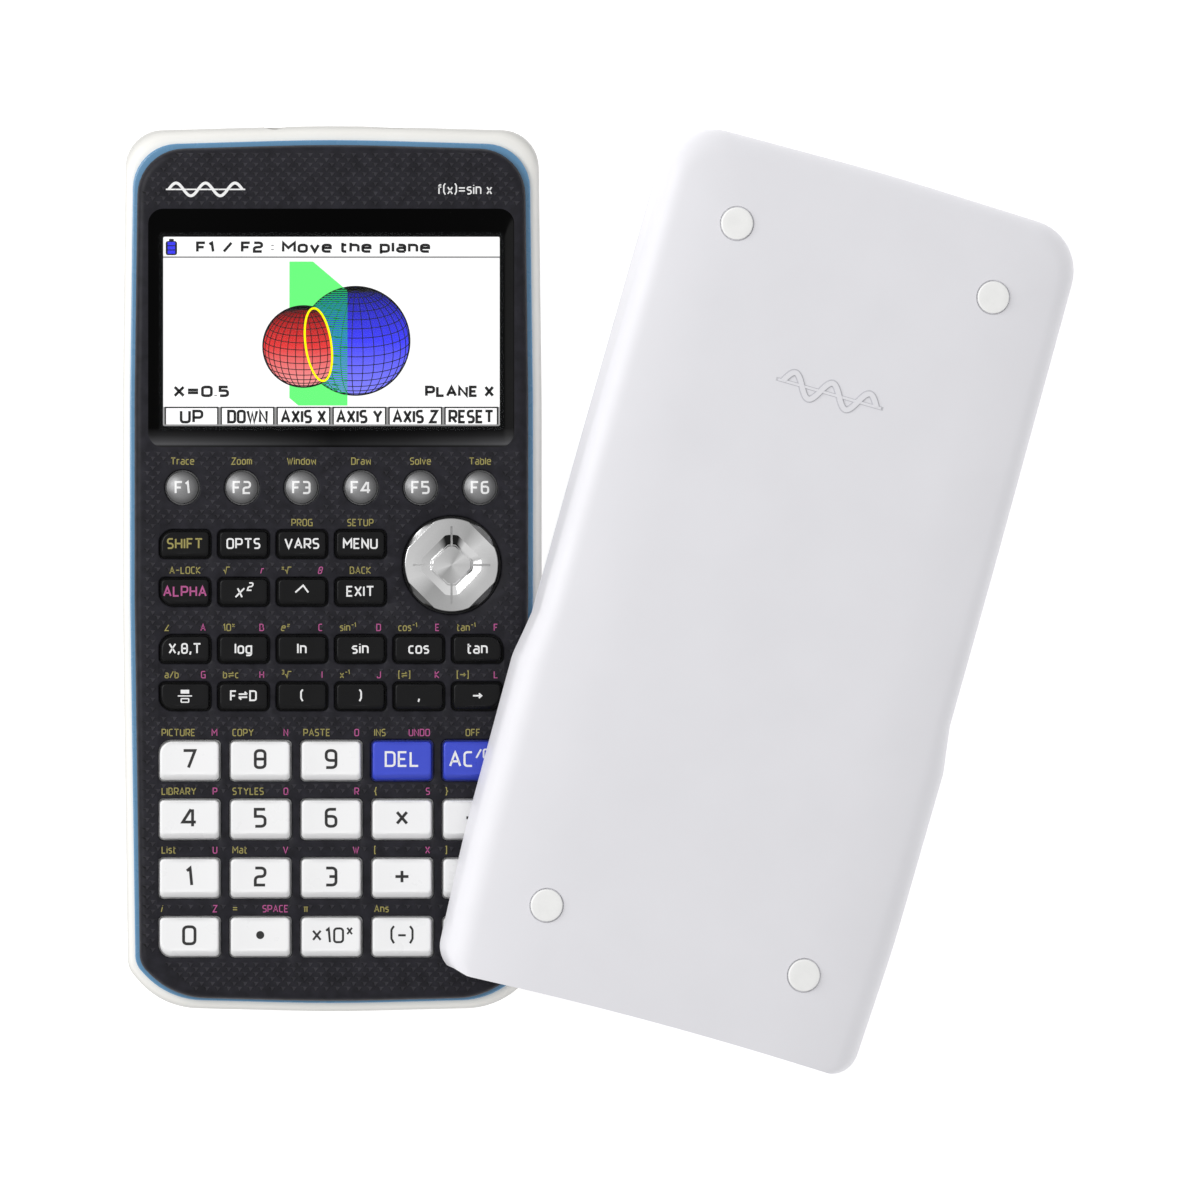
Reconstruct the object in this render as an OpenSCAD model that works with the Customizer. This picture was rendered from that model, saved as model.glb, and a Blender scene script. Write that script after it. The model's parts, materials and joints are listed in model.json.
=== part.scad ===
// Graphing calculator lying on its back, with its hard slide cover leaning on its lower right corner.
// Millimetres. Origin: centre of the back face, on the table. +X right, +Y to the display end, +Z up.

/* [Body] */
// Width across the widest line of the rear case
body_w = 89; // [88.5:0.1:89.5]
// Length of the rear case
body_l = 188.5; // [188:0.1:189]
// Height of the key face above the table
face_z = 17.2; // [17.2:0.1:17.4]
// Thickness of the key face plate
plate_t = 1.2; // [1:0.1:1.3]
// Height of the rear case
rear_z = 13.5; // [13.4:0.05:13.5]
// Thickness of the floor of the rear case
floor_t = 1.5; // [1.5:0.1:1.6]
// Wall of the rear case at its widest line
wall_t = 3.5; // [3.3:0.1:3.6]
// Radius of the long edges of the back
back_edge_r = 3; // [2.5:0.1:3.5]

/* [Display] */
// Width of the opening over the display
window_w = 73; // [72:0.1:73.4]
// Height of the opening over the display
window_h = 41.9; // [41:0.1:42.2]
// Width of the polished bevel around the opening
bevel_w = 77; // [76:0.1:77.4]
// Height of the polished bevel
bevel_h = 50; // [49:0.1:50.2]
// Centre of the display along Y
window_y = 50.2; // [50:0.1:50.4]
// Centre of the bevel along Y
bevel_y = 50.9; // [50.7:0.1:51]

/* [Keys] */
// Width of a dark key
dark_w = 10.3; // [10:0.1:10.4]
// Depth of a dark key
dark_h = 5.5; // [5.3:0.1:5.6]
// Width of a white key
light_w = 12.6; // [12.4:0.1:12.7]
// Depth of a white key
light_h = 8.2; // [8:0.1:8.3]
// Diameter of a round function key
round_d = 6.8; // [6.6:0.1:6.9]
// Pitch of the function keys
round_pitch = 12.6; // [12.5:0.05:12.65]
// Pitch of the dark keys along a row
dark_pitch = 12.37; // [12.3:0.01:12.4]
// Pitch of the white keys along a row
light_pitch = 15; // [14.9:0.05:15.05]
// Pitch of the white rows
light_row_pitch = 12.43; // [12.4:0.01:12.45]
// Gap between a key and the edge of its hole
key_gap = 0.3; // [0.25:0.05:0.35]
// Height of a dark key above the table
dark_z = 18.2; // [18:0.1:18.3]
// Height of a white key above the table
light_z = 18.4; // [18.2:0.1:18.4]

/* [Cursor pad] */
// Diameter of the cursor pad
pad_d = 20.1; // [19.8:0.1:20.2]
// Centre of the pad along X
pad_x = 25.5; // [25.4:0.1:25.6]
// Centre of the pad along Y
pad_y = 0.7; // [0.5:0.1:0.9]

/* [Slide cover] */
// Width of the cover
cover_w = 92.8; // [92.6:0.1:93]
// Length of the cover
cover_l = 187.3; // [186.5:0.1:188]
// Height of the cover from its rim to its flat back
cover_h = 12.5; // [12.3:0.1:12.7]
// Wall of the cover
cover_t = 1.6; // [1.5:0.1:1.7]
// Swell of the cover's side walls in their lower half
swell = 1.7; // [1:0.1:1.8]
// Turn of the cover's long axis away from +Y, clockwise
cover_yaw = 15.6; // [15:0.1:16]
// Lean of the cover about its long axis, its left rim resting on the keys
cover_lean = 12.1; // [12:0.05:12.3]

/* [Batteries] */
// Diameter of a battery
cell_d = 10.3; // [10.2:0.05:10.35]
// Pitch of the four batteries
cell_pitch = 10.6; // [10.5:0.05:10.7]

/* [Hidden] */
$fn = 48;
ARC_STEP = 15;          // most degrees that one segment of a rounded corner turns
SLICE = 0.1;            // thickness of the two rims that the display bevel is stretched between
CLEAR = 0.05;           // keeps two cutting planes from lying in each other
EPS = 0.01;             // overlap of a cut with the face that it opens

trim_z = 14.6;          // top of the coloured band
shoulder_z = 10.5;      // the rear case is widest below this height
face_edge_r = 1.6;
board_z = 12.6;         // underside of the circuit board
board_t = 0.8;
board_half = 33.8;      // half the width of the circuit board
sheet_z = board_z + board_t;   // underside of the rubber key sheet
sheet_t = 0.5;
flange_z = 15.2;        // underside of the key flanges
flange_t = 0.6;
flange_out = 0.6;       // how far a flange reaches out past its key
plate_z = face_z - plate_t;
window_z = 16.4;        // upper side of the display window
window_t = 0.8;
dome_top = flange_z - 0.1;

cell_x = [for (i = [-1.5:1:1.5]) i * cell_pitch];
cell_y = -60.4;         // middle of the batteries
cell_l = 43.6;
cell_z = floor_t + 0.1 + cell_d / 2;
bay_half = 21.6;        // half the inner width of the battery bay
bay_low = -84.8;
bay_high = -36;
bay_wall = 1.2;
bay_roof = 12;
door_high = -35.6;      // upper edge of the door opening
door_gap = 0.2;
rail_low = 0.4;         // groove for the door's tongues
rail_high = 1.1;
rail_out = 1.2;

screw_at = [[36.8, 83.2], [38.2, -33.2], [32.6, -86.2]];
low_screw = screw_at[2];
screw_r = 1;
jack_x = -12;
jack_z = 9.6;
jack_r = 1.3;
usb_x = 12;
socket_end = 89.5;      // both sockets stop just short of the case wall
jack_depth = 10;
groove_low = 8.6;       // side grooves that the cover's lips run in
groove_high = 10.2;
groove_d = 1.5;

pad_top = 18.5;
rocker_z = 14;          // underside of the rocker below the pad
rocker_t = 0.7;
rocker_pin = 11;        // length of its long pin, which ends short of the pad domes
rocker_cross = 5.6;     // length of its short pin, which clears the tilted pad
lip_t = 1;              // inward lips along the cover's rim
lip_w = 1.5;
foot_d = 6.8;
foot_across = 28.9;
foot_inset = 19.1;      // from a foot to the nearer end of the cover
// the cover's middle on the table plan, below its flat back
cover_at = [90.4, -6.1];

// ---- key layout: each key is [name, x, y, kind, index of its one large corner or -1]
ROUND_ROW = ["f1_key", "f2_key", "f3_key", "f4_key", "f5_key", "f6_key"];
DARK_ROWS = [["shift_key", "option_key", "variables_key", "menu_key"],
             ["alpha_key", "square_key", "power_key", "exit_key"],
             ["unknown_key", "log_key", "ln_key", "sin_key", "cos_key", "tan_key"],
             ["fraction_key", "convert_key", "open_bracket_key", "close_bracket_key", "comma_key", "arrow_key"]];
LIGHT_ROWS = [["seven_key", "eight_key", "nine_key", "delete_key", "clear_key"],
              ["four_key", "five_key", "six_key", "multiply_key", "divide_key"],
              ["one_key", "two_key", "three_key", "plus_key", "minus_key"],
              ["zero_key", "point_key", "exponent_key", "negate_key", "enter_key"]];
round_y = 17.1;
dark_y = [5.1, -5, -17.1, -27.1];
light_y = -40.7;        // first row of white keys
TOP_RIGHT = 0;
LOW_RIGHT = 1;
LOW_LEFT = 2;
TOP_LEFT = 3;

// the large corner of a key: only the outer corners of each block of keys have one
function large_corner(first_col, last_col, top_row) =
    first_col ? (top_row ? TOP_LEFT : LOW_LEFT) : last_col ? (top_row ? TOP_RIGHT : LOW_RIGHT) : -1;

ROUND_KEYS = [for (i = [0:5]) [ROUND_ROW[i], (i - 2.5) * round_pitch, round_y, "round", -1]];
DARK_KEYS = [for (r = [0:3]) for (c = [0:len(DARK_ROWS[r]) - 1])
    [DARK_ROWS[r][c], (c - 2.5) * dark_pitch, dark_y[r], "dark", large_corner(c == 0, c == 5, r % 2 == 0)]];
LIGHT_KEYS = [for (r = [0:3]) for (c = [0:4])
    [LIGHT_ROWS[r][c], (c - 2) * light_pitch, light_y - r * light_row_pitch, r == 0 && c > 2 ? "blue" : "light",
     r == 0 || r == 3 ? large_corner(c == 0, c == 4, r == 0) : -1]];
KEYS = concat(ROUND_KEYS, DARK_KEYS, LIGHT_KEYS);

// ---- outlines
function unit(v) = v / norm(v);
function corner_arc(a, b, c, r) =
    let (u = unit(a - b), v = unit(c - b), half = acos(u * v) / 2)
    let (centre = b + unit(u + v) * r / sin(half))
    let (p = b + u * r / tan(half) - centre, q = b + v * r / tan(half) - centre)
    let (start = atan2(p[1], p[0]), turn = atan2(p[0] * q[1] - p[1] * q[0], p * q))
    let (steps = max(2, ceil(abs(turn) / ARC_STEP)))
    [for (i = [0:steps]) centre + r * [cos(start + turn * i / steps), sin(start + turn * i / steps)]];

// closed outline through corners [x, y, radius]
function rounded(corners) =
    let (m = len(corners), xy = [for (k = corners) [k[0], k[1]]])
    [for (i = [0:m - 1]) each corner_arc(xy[(i + m - 1) % m], xy[i], xy[(i + 1) % m], corners[i][2])];

function mirrored(right) =
    concat(right, [for (i = [len(right) - 1:-1:0]) let (k = right[i]) if (k[0] > 0) [-k[0], k[1], k[2]]]);

// the calculator's outline, pulled in by side, top and end, with top corners of radius r
function body_outline(side, top, end, r = 8) =
    let (hw = body_w / 2 - side, ht = body_l / 2 - top, hb = body_l / 2 - end)
    rounded(mirrored([[0, ht, 400], [hw - 0.7, ht - 1.2, r], [hw, 36, 300], [hw, -7, 300],
                      [hw - 1.1, 9.4 - body_l / 2 + 0.4 * end, 5], [hw - 8, 0.9 - hb, 17], [0, -hb, 400]]));

function rectangle(w, h, r) =
    rounded([for (c = [[1, 1], [1, -1], [-1, -1], [-1, 1]]) [c[0] * w / 2, c[1] * h / 2, r]]);

function key_outline(w, h, large) =
    rounded([for (i = [0:3])
        [(i < 2 ? 1 : -1) * w / 2, (i == 0 || i == 3 ? 1 : -1) * h / 2, i == large ? 2.6 : 0.9]]);

module slice(outline, z) {
    translate([0, 0, z]) linear_extrude(SLICE) polygon(outline);
}

module prism(outline, low, high) {
    translate([0, 0, low]) linear_extrude(high - low) polygon(outline);
}

module block(x, y, z) {
    translate([x[0], y[0], z[0]]) cube([x[1] - x[0], y[1] - y[0], z[1] - z[0]]);
}

module both_sides() {
    children();
    mirror([1, 0, 0]) children();
}

module along_y(at, length, r) {
    translate(at) rotate([-90, 0, 0]) cylinder(h = length, r = r);
}

// ---- case
// one side of a section, rising from the back to the rear case's upper rim, which steps in
function rear_side(reach, step) =
    concat([for (a = [0:22.5:90]) [reach - back_edge_r * (1 - sin(a)), back_edge_r * (1 - cos(a))]],
           [for (a = [0:30:90]) [reach - step * (1 - cos(a)), shoulder_z + (rear_z - shoulder_z) * sin(a)]]);

// one side of a section through the face plate, with its rounded upper edge
function face_side(reach) =
    concat([[reach, trim_z]],
           [for (a = [0:30:90]) [reach - face_edge_r * (1 - cos(a)), face_z - face_edge_r * (1 - sin(a))]]);

function across(high, low) = concat(high, [for (i = [len(low) - 1:-1:0]) [-low[i][0], low[i][1]]]);

// long bar with the given section, which gives an upright prism its rounded edges where they cross
module bar(section, turn) {
    rotate([0, 0, turn]) rotate([90, 0, 0]) linear_extrude(3 * body_l, center = true) polygon(section);
}

module rear_body() {
    side = body_w / 2 + CLEAR;
    end = body_l / 2 + CLEAR;
    intersection() {
        prism(body_outline(0, 0, 0), 0, rear_z);
        bar(across(rear_side(side, 1.8), rear_side(side, 1.8)), 0);
        bar(across(rear_side(end, 3.15), rear_side(end, 1.85)), 90);
        for (turn = [45, 135]) bar(across(rear_side(93.4, 4), rear_side(90.8, 2.4)), turn);
    }
}

module battery_bay() {
    difference() {
        block([-bay_half - bay_wall, bay_half + bay_wall], [bay_low - bay_wall, bay_high + bay_wall],
              [floor_t - 0.5, bay_roof + 0.5]);
        block([-bay_half, bay_half], [bay_low, bay_high], [floor_t - 1, bay_roof]);
    }
}

module rear_case() {
    color("whitesmoke") difference() {
        union() {
            difference() {
                rear_body();
                prism(body_outline(wall_t, wall_t + 0.6, wall_t), floor_t, rear_z + 1);
            }
            battery_bay();
            both_sides() for (p = screw_at) translate([p[0], p[1], 0.5]) cylinder(h = 12.5, r = 2.7);
        }
        // opening and rails for the battery cover, open at the lower end
        block([-bay_half, bay_half], [-body_l, door_high], [-1, floor_t + 0.05]);
        block([-bay_half - rail_out, bay_half + rail_out], [-body_l, door_high - 2], [rail_low, rail_high]);
        // grooves for the cover's lips
        both_sides() block([body_w / 2 - groove_d, body_w], [-body_l, body_l], [groove_low, groove_high]);
        // screw holes with recessed seats
        both_sides() for (p = screw_at) {
            translate([p[0], p[1], -1]) cylinder(h = 20, r = screw_r + 0.15);
            translate([p[0], p[1], -1]) cylinder(h = 3.1, r = 2.2);
        }
        // sockets in the display end, and the restart hole in the back
        along_y([jack_x, 80, jack_z], 20, 2.8);
        block([usb_x - 4.2, usb_x + 4.2], [80, 100], [jack_z - 2.3, jack_z + 2.3]);
        translate([-28, -20, -1]) cylinder(h = 4, r = 0.9);
    }
}

module trim_band() {
    color("steelblue") difference() {
        prism(body_outline(1.8, 3.15, 1.85, 9.5), rear_z, trim_z);
        prism(body_outline(wall_t + 0.2, wall_t + 1.6, wall_t), rear_z - 1, trim_z + 1);
    }
}

module front_shell() {
    side = 2.8;
    top = 4.25;
    end = 2.35;
    half = body_w / 2 - side + CLEAR;
    difference() {
        intersection() {
            prism(body_outline(side, top, end, 10), trim_z, face_z);
            bar(across(face_side(half), face_side(half)), 0);
            bar(across(face_side(body_l / 2 - top), face_side(body_l / 2 - end)), 90);
            for (turn = [45, 135]) bar(across(face_side(87.6), face_side(88)), turn);
        }
        prism(body_outline(side + 1.4, top + 1.4, end + 1.4), trim_z - 1, plate_z);
    }
}

module key_hole(k) {
    translate([k[1], k[2], plate_z - 1])
        if (k[3] == "round") cylinder(h = 3, r = round_d / 2 + key_gap);
        else linear_extrude(3) polygon(key_outline((k[3] == "dark" ? dark_w : light_w) + 2 * key_gap,
                                                   (k[3] == "dark" ? dark_h : light_h) + 2 * key_gap, k[4]));
}

module front_case() {
    color("#2b2a31") difference() {
        union() {
            front_shell();
            both_sides() for (p = screw_at)
                translate([p[0], p[1], 13.6]) cylinder(h = plate_z - 13.5, r = 1.8);
        }
        for (k = KEYS) key_hole(k);
        translate([pad_x, pad_y, 10]) cylinder(h = 10, r = pad_d / 2 + 0.35);
        translate([pad_x, pad_y, 10]) cylinder(h = 6.6, r = 11.7);
        // sloping bevel down to the window, and the seat of the window below it
        hull() {
            translate([0, bevel_y, 0]) slice(rectangle(bevel_w, bevel_h, 1.2), face_z);
            translate([0, window_y, 0]) slice(rectangle(window_w, window_h, 0.6), window_z);
        }
        translate([0, window_y, 0]) prism(rectangle(window_w, window_h, 0.6), 10, face_z);
        translate([0, window_y, 0]) prism(rectangle(76, 44.8, 0.8), 10, window_z + 0.05);
        both_sides() for (p = screw_at) translate([p[0], p[1], 10]) cylinder(h = 6.4, r = screw_r + 0.05);
    }
}

module display_window() {
    color("#30343a") translate([0, window_y, 0])
        prism(rectangle(75.6, 44.4, 0.8), window_z - window_t, window_z);
}

module lcd_module() {
    color("white") {
        block([-37.2, 37.2], [window_y - 23.4, window_y + 23], [sheet_z, 14.6]);
        block([-35.65, 35.65], [window_y - 20.15, window_y + 19.95], [14.6, 15.5]);
    }
    // ribbon cable that folds under the panel's lower edge
    color("peru") block([-8, 8], [window_y - 27, window_y - 23.4], [sheet_z, sheet_z + 0.2]);
}

// ---- inside
module battery_contact(x, spring_end) {
    y = spring_end < 0 ? bay_low + 0.3 : bay_high - 0.7;
    block([x - 3.6, x + 3.6], [y, y + 0.4], [4, 11]);
    if (spring_end < 0)
        translate([x, y + 0.4, cell_z]) rotate([-90, 0, 0]) cylinder(h = 1.2, r1 = 2.8, r2 = 1.8);
    else translate([x, y, cell_z]) rotate([90, 0, 0]) cylinder(h = 0.5, r1 = 1.6, r2 = 1);
}

module main_board() {
    color("seagreen") difference() {
        block([-board_half, board_half], [-84, 88], [board_z, sheet_z]);
        both_sides() translate([low_screw[0], low_screw[1], 10]) cylinder(h = 5, r = 4);
    }
    // processor, memory and display driver on the underside
    color("#202020") {
        block([-12, 12], [2, 24], [board_z - 1.4, board_z]);
        block([18, 30], [4, 18], [board_z - 1.2, board_z]);
        block([-30, -18], [40, 52], [board_z - 1.2, board_z]);
    }
    // crystal and capacitors
    color("silver") {
        block([-30, -24], [8, 11], [board_z - 2.5, board_z]);
        for (i = [0:3]) translate([8 + 6 * i, 60, board_z - 5]) cylinder(h = 5, r = 2);
        for (x = cell_x) battery_contact(x, -1);
        for (x = cell_x) battery_contact(x, 1);
    }
    // restart switch over the hole in the back
    color("dimgray") {
        block([-30.5, -25.5], [-22.5, -17.5], [8, board_z]);
        translate([-28, -20, 6.5]) cylinder(h = 1.5, r = 0.8);
    }
    // link jack and data socket at the display end
    color("black") difference() {
        block([jack_x - 3.5, jack_x + 3.5], [socket_end - 12, socket_end], [jack_z - 3, board_z]);
        along_y([jack_x, socket_end - jack_depth, jack_z], 12, jack_r);
    }
    color("silver") difference() {
        block([usb_x - 3.9, usb_x + 3.9], [socket_end - 9, socket_end], [jack_z - 2, board_z]);
        block([usb_x - 3.4, usb_x + 3.4], [socket_end - 8, socket_end + 1], [jack_z - 1.5, jack_z + 1.5]);
    }
}

module key_membrane() {
    color("lightgray") {
        difference() {
            block([-35, 35], [-83.5, 22.5], [sheet_z, sheet_z + sheet_t]);
            both_sides() translate([low_screw[0], low_screw[1], 10]) cylinder(h = 5, r = 4.5);
        }
        for (k = KEYS) translate([k[1], k[2], sheet_z + sheet_t])
            cylinder(h = dome_top - sheet_z - sheet_t, r = k[3] == "light" ? 2.4 : 1.8);
        for (a = [0:90:270]) translate([pad_x + 7.6 * cos(a), pad_y + 7.6 * sin(a), sheet_z + sheet_t])
            cylinder(h = 0.8, r = 1.5);
    }
}

module batteries() {
    color("goldenrod") for (x = cell_x) {
        along_y([x, cell_y - cell_l / 2, cell_z], cell_l, cell_d / 2);
        along_y([x, cell_y + cell_l / 2, cell_z], 0.9, 1.9);
    }
}

module battery_cover() {
    color("gainsboro") difference() {
        union() {
            intersection() {
                rear_body();
                block([door_gap - bay_half, bay_half - door_gap], [-body_l, door_high - door_gap],
                      [-1, floor_t - 0.05]);
            }
            block([door_gap - bay_half - rail_out, bay_half + rail_out - door_gap], [-86, door_high - 2 - door_gap],
                  [rail_low + 0.1, rail_high - 0.1]);
        }
        // finger ridges near the display side of the cover
        for (i = [0:5]) block([-9, 9], [-48 + 1.6 * i, -47.2 + 1.6 * i], [-1, 0.35]);
    }
}

module case_screws() {
    color("silver") both_sides() for (p = screw_at) translate([p[0], p[1], 0.6]) difference() {
        union() {
            cylinder(h = 1.4, r = 2);
            cylinder(h = 15.2, r = screw_r);
        }
        translate([-1.2, -0.2, -EPS]) cube([2.4, 0.4, 0.7]);
        translate([-0.2, -1.2, -EPS]) cube([0.4, 2.4, 0.7]);
    }
}

// ---- keys
module cap_profile(h, top, w) {
    front = h > 7 ? 1 : 0.6;
    rotate([90, 0, 90]) translate([0, 0, -w]) linear_extrude(2 * w)
        polygon([[-h / 2, flange_z], [h / 2, flange_z], [h / 2, top - 0.7], [h / 2 - 0.4, top],
                 [front - h / 2, top], [-h / 2, top - 1]]);
}

module square_key(w, h, top, large, dish) {
    dish_r = w * w / (8 * dish);
    prism(key_outline(w + 2 * flange_out, h + 2 * flange_out, large), flange_z, flange_z + flange_t);
    difference() {
        intersection() {
            prism(key_outline(w, h, large), flange_z, top);
            cap_profile(h, top, w);
        }
        along_y([0, -h, top + dish_r - dish], 2 * h, dish_r, $fn = 200);
    }
}

module round_key() {
    crown_r = 7;
    cylinder(h = flange_t, r = round_d / 2 + 0.8);
    intersection() {
        cylinder(h = 3, r = round_d / 2);
        translate([0, 0, 3 - crown_r]) sphere(r = crown_r);
    }
}

module key(k) {
    shade = k[3] == "dark" ? "#1c1c20" : k[3] == "round" ? "#8b8b8f" : k[3] == "blue" ? "#3a4bc8" : "#f6f6f6";
    color(shade) translate([k[1], k[2], 0])
        if (k[3] == "round") translate([0, 0, flange_z]) round_key();
        else if (k[3] == "dark") square_key(dark_w, dark_h, dark_z, k[4], 0.15);
        else square_key(light_w, light_h, light_z, k[4], 0.25);
}

module cursor_rocker() {
    pin_r = rocker_t / 2;
    color("dimgray") translate([pad_x, pad_y, rocker_z]) {
        cylinder(h = rocker_t, r = 2.5);
        // the two crossed pins that the pad rocks about
        translate([-rocker_cross / 2, 0, pin_r]) rotate([0, 90, 0]) cylinder(h = rocker_cross, r = pin_r);
        along_y([0, -rocker_pin / 2, pin_r], rocker_pin, pin_r);
    }
}

module cursor_pad() {
    flange_low = 14.9;
    chord = 9.03;       // distance of the four slanting flats from the centre
    ring = 6.25;
    ring_chord = 5.24;
    boss = 4.1;
    boss_chord = 3.4;
    color("silver") translate([pad_x, pad_y, 0]) {
        translate([0, 0, flange_low]) cylinder(h = 0.6, r = 11.2);
        difference() {
            translate([0, 0, flange_low]) cylinder(h = pad_top - flange_low, r = pad_d / 2);
            // slanting flats cut the rim between the four directions
            for (a = [45:90:315])
                rotate([0, 0, a]) translate([chord, -10, pad_top - 0.8]) rotate([0, -40, 0]) cube([4, 20, 4]);
            // sunken ring around the centre boss
            difference() {
                intersection() {
                    translate([0, 0, pad_top - 0.5]) cylinder(h = 1, r = ring);
                    rotate([0, 0, 45]) translate([0, 0, pad_top])
                        cube([2 * ring_chord, 2 * ring_chord, 4], center = true);
                }
                intersection() {
                    cylinder(h = pad_top, r = boss);
                    rotate([0, 0, 45]) cube([2 * boss_chord, 2 * boss_chord, 60], center = true);
                }
            }
            // narrow slots toward the four directions
            for (a = [0:90:270]) rotate([0, 0, a]) block([boss, 8.2], [-0.22, 0.22], [pad_top - 0.6, pad_top + 1]);
        }
    }
}

// ---- slide cover, drawn with its rim on z = 0 and its closed end at +Y, then leaned in place
module place_cover() {
    lift = cover_w / 2 * sin(cover_lean) + 0.02;
    translate([cover_at[0], cover_at[1], lift]) rotate([0, 0, -cover_yaw]) rotate([0, cover_lean, 0]) children();
}

function cover_outline(in, past_end = 0) =
    let (hw = cover_w / 2 - in, hl = cover_l / 2)
    rounded(mirrored([[0, hl - in, 500], [hw - 0.4, hl - in - 0.9, 11 - in], [hw, 20, 400],
                      [hw - 0.3, 30 - hl, 60], [hw - 1.6, -hl - past_end, past_end > 0 ? 1 : 8],
                      [0, -hl - past_end - 0.6, 400]]));

// one side of a section through the cover, with its rounded upper edge
function cover_side(reach, top, r, low) =
    concat([[reach, low - 1]], [for (a = [0:15:90]) [reach - r * (1 - cos(a)), top - 0.8 * r * (1 - sin(a))]]);

// the cover's outer form, or its hollow when pulled in by its wall
module cover_form(in, past_end, low) {
    r = 7 - in;
    top = cover_h - in;
    half = cover_w / 2 - in + CLEAR;
    open_side = [[body_l, low - 1], [body_l, top]];
    closed_side = cover_side(cover_l / 2 - in, top, r, low);
    corner_side = cover_side(93.5 - in, top, r, low);
    intersection() {
        prism(cover_outline(in, past_end), low, top);
        bar(across(cover_side(half, top, r, low), cover_side(half, top, r, low)), 0);
        bar(across(closed_side, open_side), 90);
        for (turn = [45, 135]) bar(across(corner_side, open_side), turn);
    }
}

// the lower half of the side walls swells out toward the rim, for the fingers
module cover_swell() {
    hw = cover_w / 2;
    hl = cover_l / 2;
    plan = rounded(mirrored([[hw - 0.8, -12, 0.3], [hw - 0.1, -15.5, 10], [hw + swell, -25.5, 12],
                             [hw + swell - 0.3, 30 - hl, 60], [hw + swell - 1.9, -hl, 8], [0, -hl - 0.6, 400]]));
    side = concat([[hw + swell, -1]], [for (a = [0:15:90]) [hw - 0.5 + (swell + 0.5) * cos(a), 1.4 + 6 * sin(a)]]);
    intersection() {
        prism(plan, 0.4, 7.4);
        bar(across(side, side), 0);
    }
}

module slide_cover() {
    end_bow_r = 900;    // the open end is slightly hollow
    color("#e2e1e6") place_cover() difference() {
        union() {
            difference() {
                union() {
                    cover_form(0, 0, 0);
                    cover_swell();
                }
                cover_form(cover_t, 12, -1);
            }
            // lips that run in the case's side grooves
            both_sides() block([cover_w / 2 - cover_t - lip_w, cover_w / 2 - 1], [-78, 76], [0, lip_t]);
        }
        translate([0, -cover_l / 2 - end_bow_r + 1.2, -5]) cylinder(h = 30, r = end_bow_r, $fn = 720);
        for (x = [-1, 1]) for (y = [-1, 1])
            translate([x * foot_across, y * (cover_l / 2 - foot_inset), cover_h - 0.5])
                cylinder(h = 2, r = foot_d / 2 + 0.3);
    }
}

module cover_feet() {
    color("white") place_cover() for (x = [-1, 1]) for (y = [-1, 1])
        translate([x * foot_across, y * (cover_l / 2 - foot_inset), cover_h - 0.5]) cylinder(h = 1, r = foot_d / 2);
}

rear_case();
front_case();
trim_band();
display_window();
lcd_module();
main_board();
key_membrane();
batteries();
battery_cover();
case_screws();
cursor_rocker();
cursor_pad();
slide_cover();
cover_feet();
for (k = KEYS) key(k);
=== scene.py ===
import json
import math
import re

import bmesh
import bpy
from mathutils import Matrix, Vector


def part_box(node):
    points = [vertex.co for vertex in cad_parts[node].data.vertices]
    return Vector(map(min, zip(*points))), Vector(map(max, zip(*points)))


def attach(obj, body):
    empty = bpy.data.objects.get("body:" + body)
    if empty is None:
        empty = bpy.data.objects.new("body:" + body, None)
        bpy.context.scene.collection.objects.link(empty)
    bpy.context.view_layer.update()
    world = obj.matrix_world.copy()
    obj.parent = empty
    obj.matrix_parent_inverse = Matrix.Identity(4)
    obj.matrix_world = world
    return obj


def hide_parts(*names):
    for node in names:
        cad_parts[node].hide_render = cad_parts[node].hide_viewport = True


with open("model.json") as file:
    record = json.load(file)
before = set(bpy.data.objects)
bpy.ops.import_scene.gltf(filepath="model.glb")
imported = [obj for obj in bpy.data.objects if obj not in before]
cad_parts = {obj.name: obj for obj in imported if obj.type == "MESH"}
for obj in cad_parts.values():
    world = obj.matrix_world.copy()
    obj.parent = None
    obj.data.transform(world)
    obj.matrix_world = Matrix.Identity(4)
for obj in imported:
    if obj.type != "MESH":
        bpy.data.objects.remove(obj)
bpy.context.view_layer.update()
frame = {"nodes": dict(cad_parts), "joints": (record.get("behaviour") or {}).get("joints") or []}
MM = 0.001
BODY = "calculator"


# ---- measures, in millimetres
def size_mm(node):
    low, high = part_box(node)
    return (high - low) / MM


def middle_mm(node):
    low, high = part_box(node)
    return (low + high) / 2 / MM


def top_mm(node):
    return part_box(node)[1].z / MM


BODY_W = size_mm("rear_case").x
BODY_L = size_mm("rear_case").y
REAR_Z = top_mm("rear_case")
TRIM_Z = top_mm("trim_band")
FACE_Z = top_mm("front_case")
PLATE_Z = FACE_Z - 1.2
SHOULDER_Z = 10.5
RIM_INSET = (1.8, 3.15, 1.85)      # blue band in from the case: sides, display end, lower end
FACE_INSET = (2.8, 4.25, 2.35)     # black face in from the case, in the same order
CAVITY_INSET = (3.7, 5.1, 3.5)
FLANGE_OUT = 0.6
FLANGE_Z = 15.2
FLANGE_TOP = 15.8
WINDOW_Y = middle_mm("display_window").y
WINDOW_Z = top_mm("display_window")
BEVEL_Y = WINDOW_Y + 0.7
PANE = (75.6, 44.4)
WINDOW = (73, 41.9)
BEVEL = (77, 50)
SCREEN = (71.3, 40.1)
SCREEN_Z = 15.5
PAD = middle_mm("cursor_pad")
PAD_TOP = top_mm("cursor_pad")
SCREWS = [(36.8, 83.2), (38.2, -33.2), (32.6, -86.2)]
DOOR_HALF = 21.6
DOOR_END = -35.6
RAIL = 1.2                         # how far the door's rails reach into the case
BAY_Y = (-84.8, -36)
FAR = 120                          # past the case on any side
GROOVE_Z = (8.6, 10.2)
GROOVE_DEEP = 1.5
LINK_JACK = (-12, 9.6)             # X and Z of the sockets in the display end
DATA_SOCKET = (12, 9.6)
RESTART_HOLE = (-28, -20)


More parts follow.
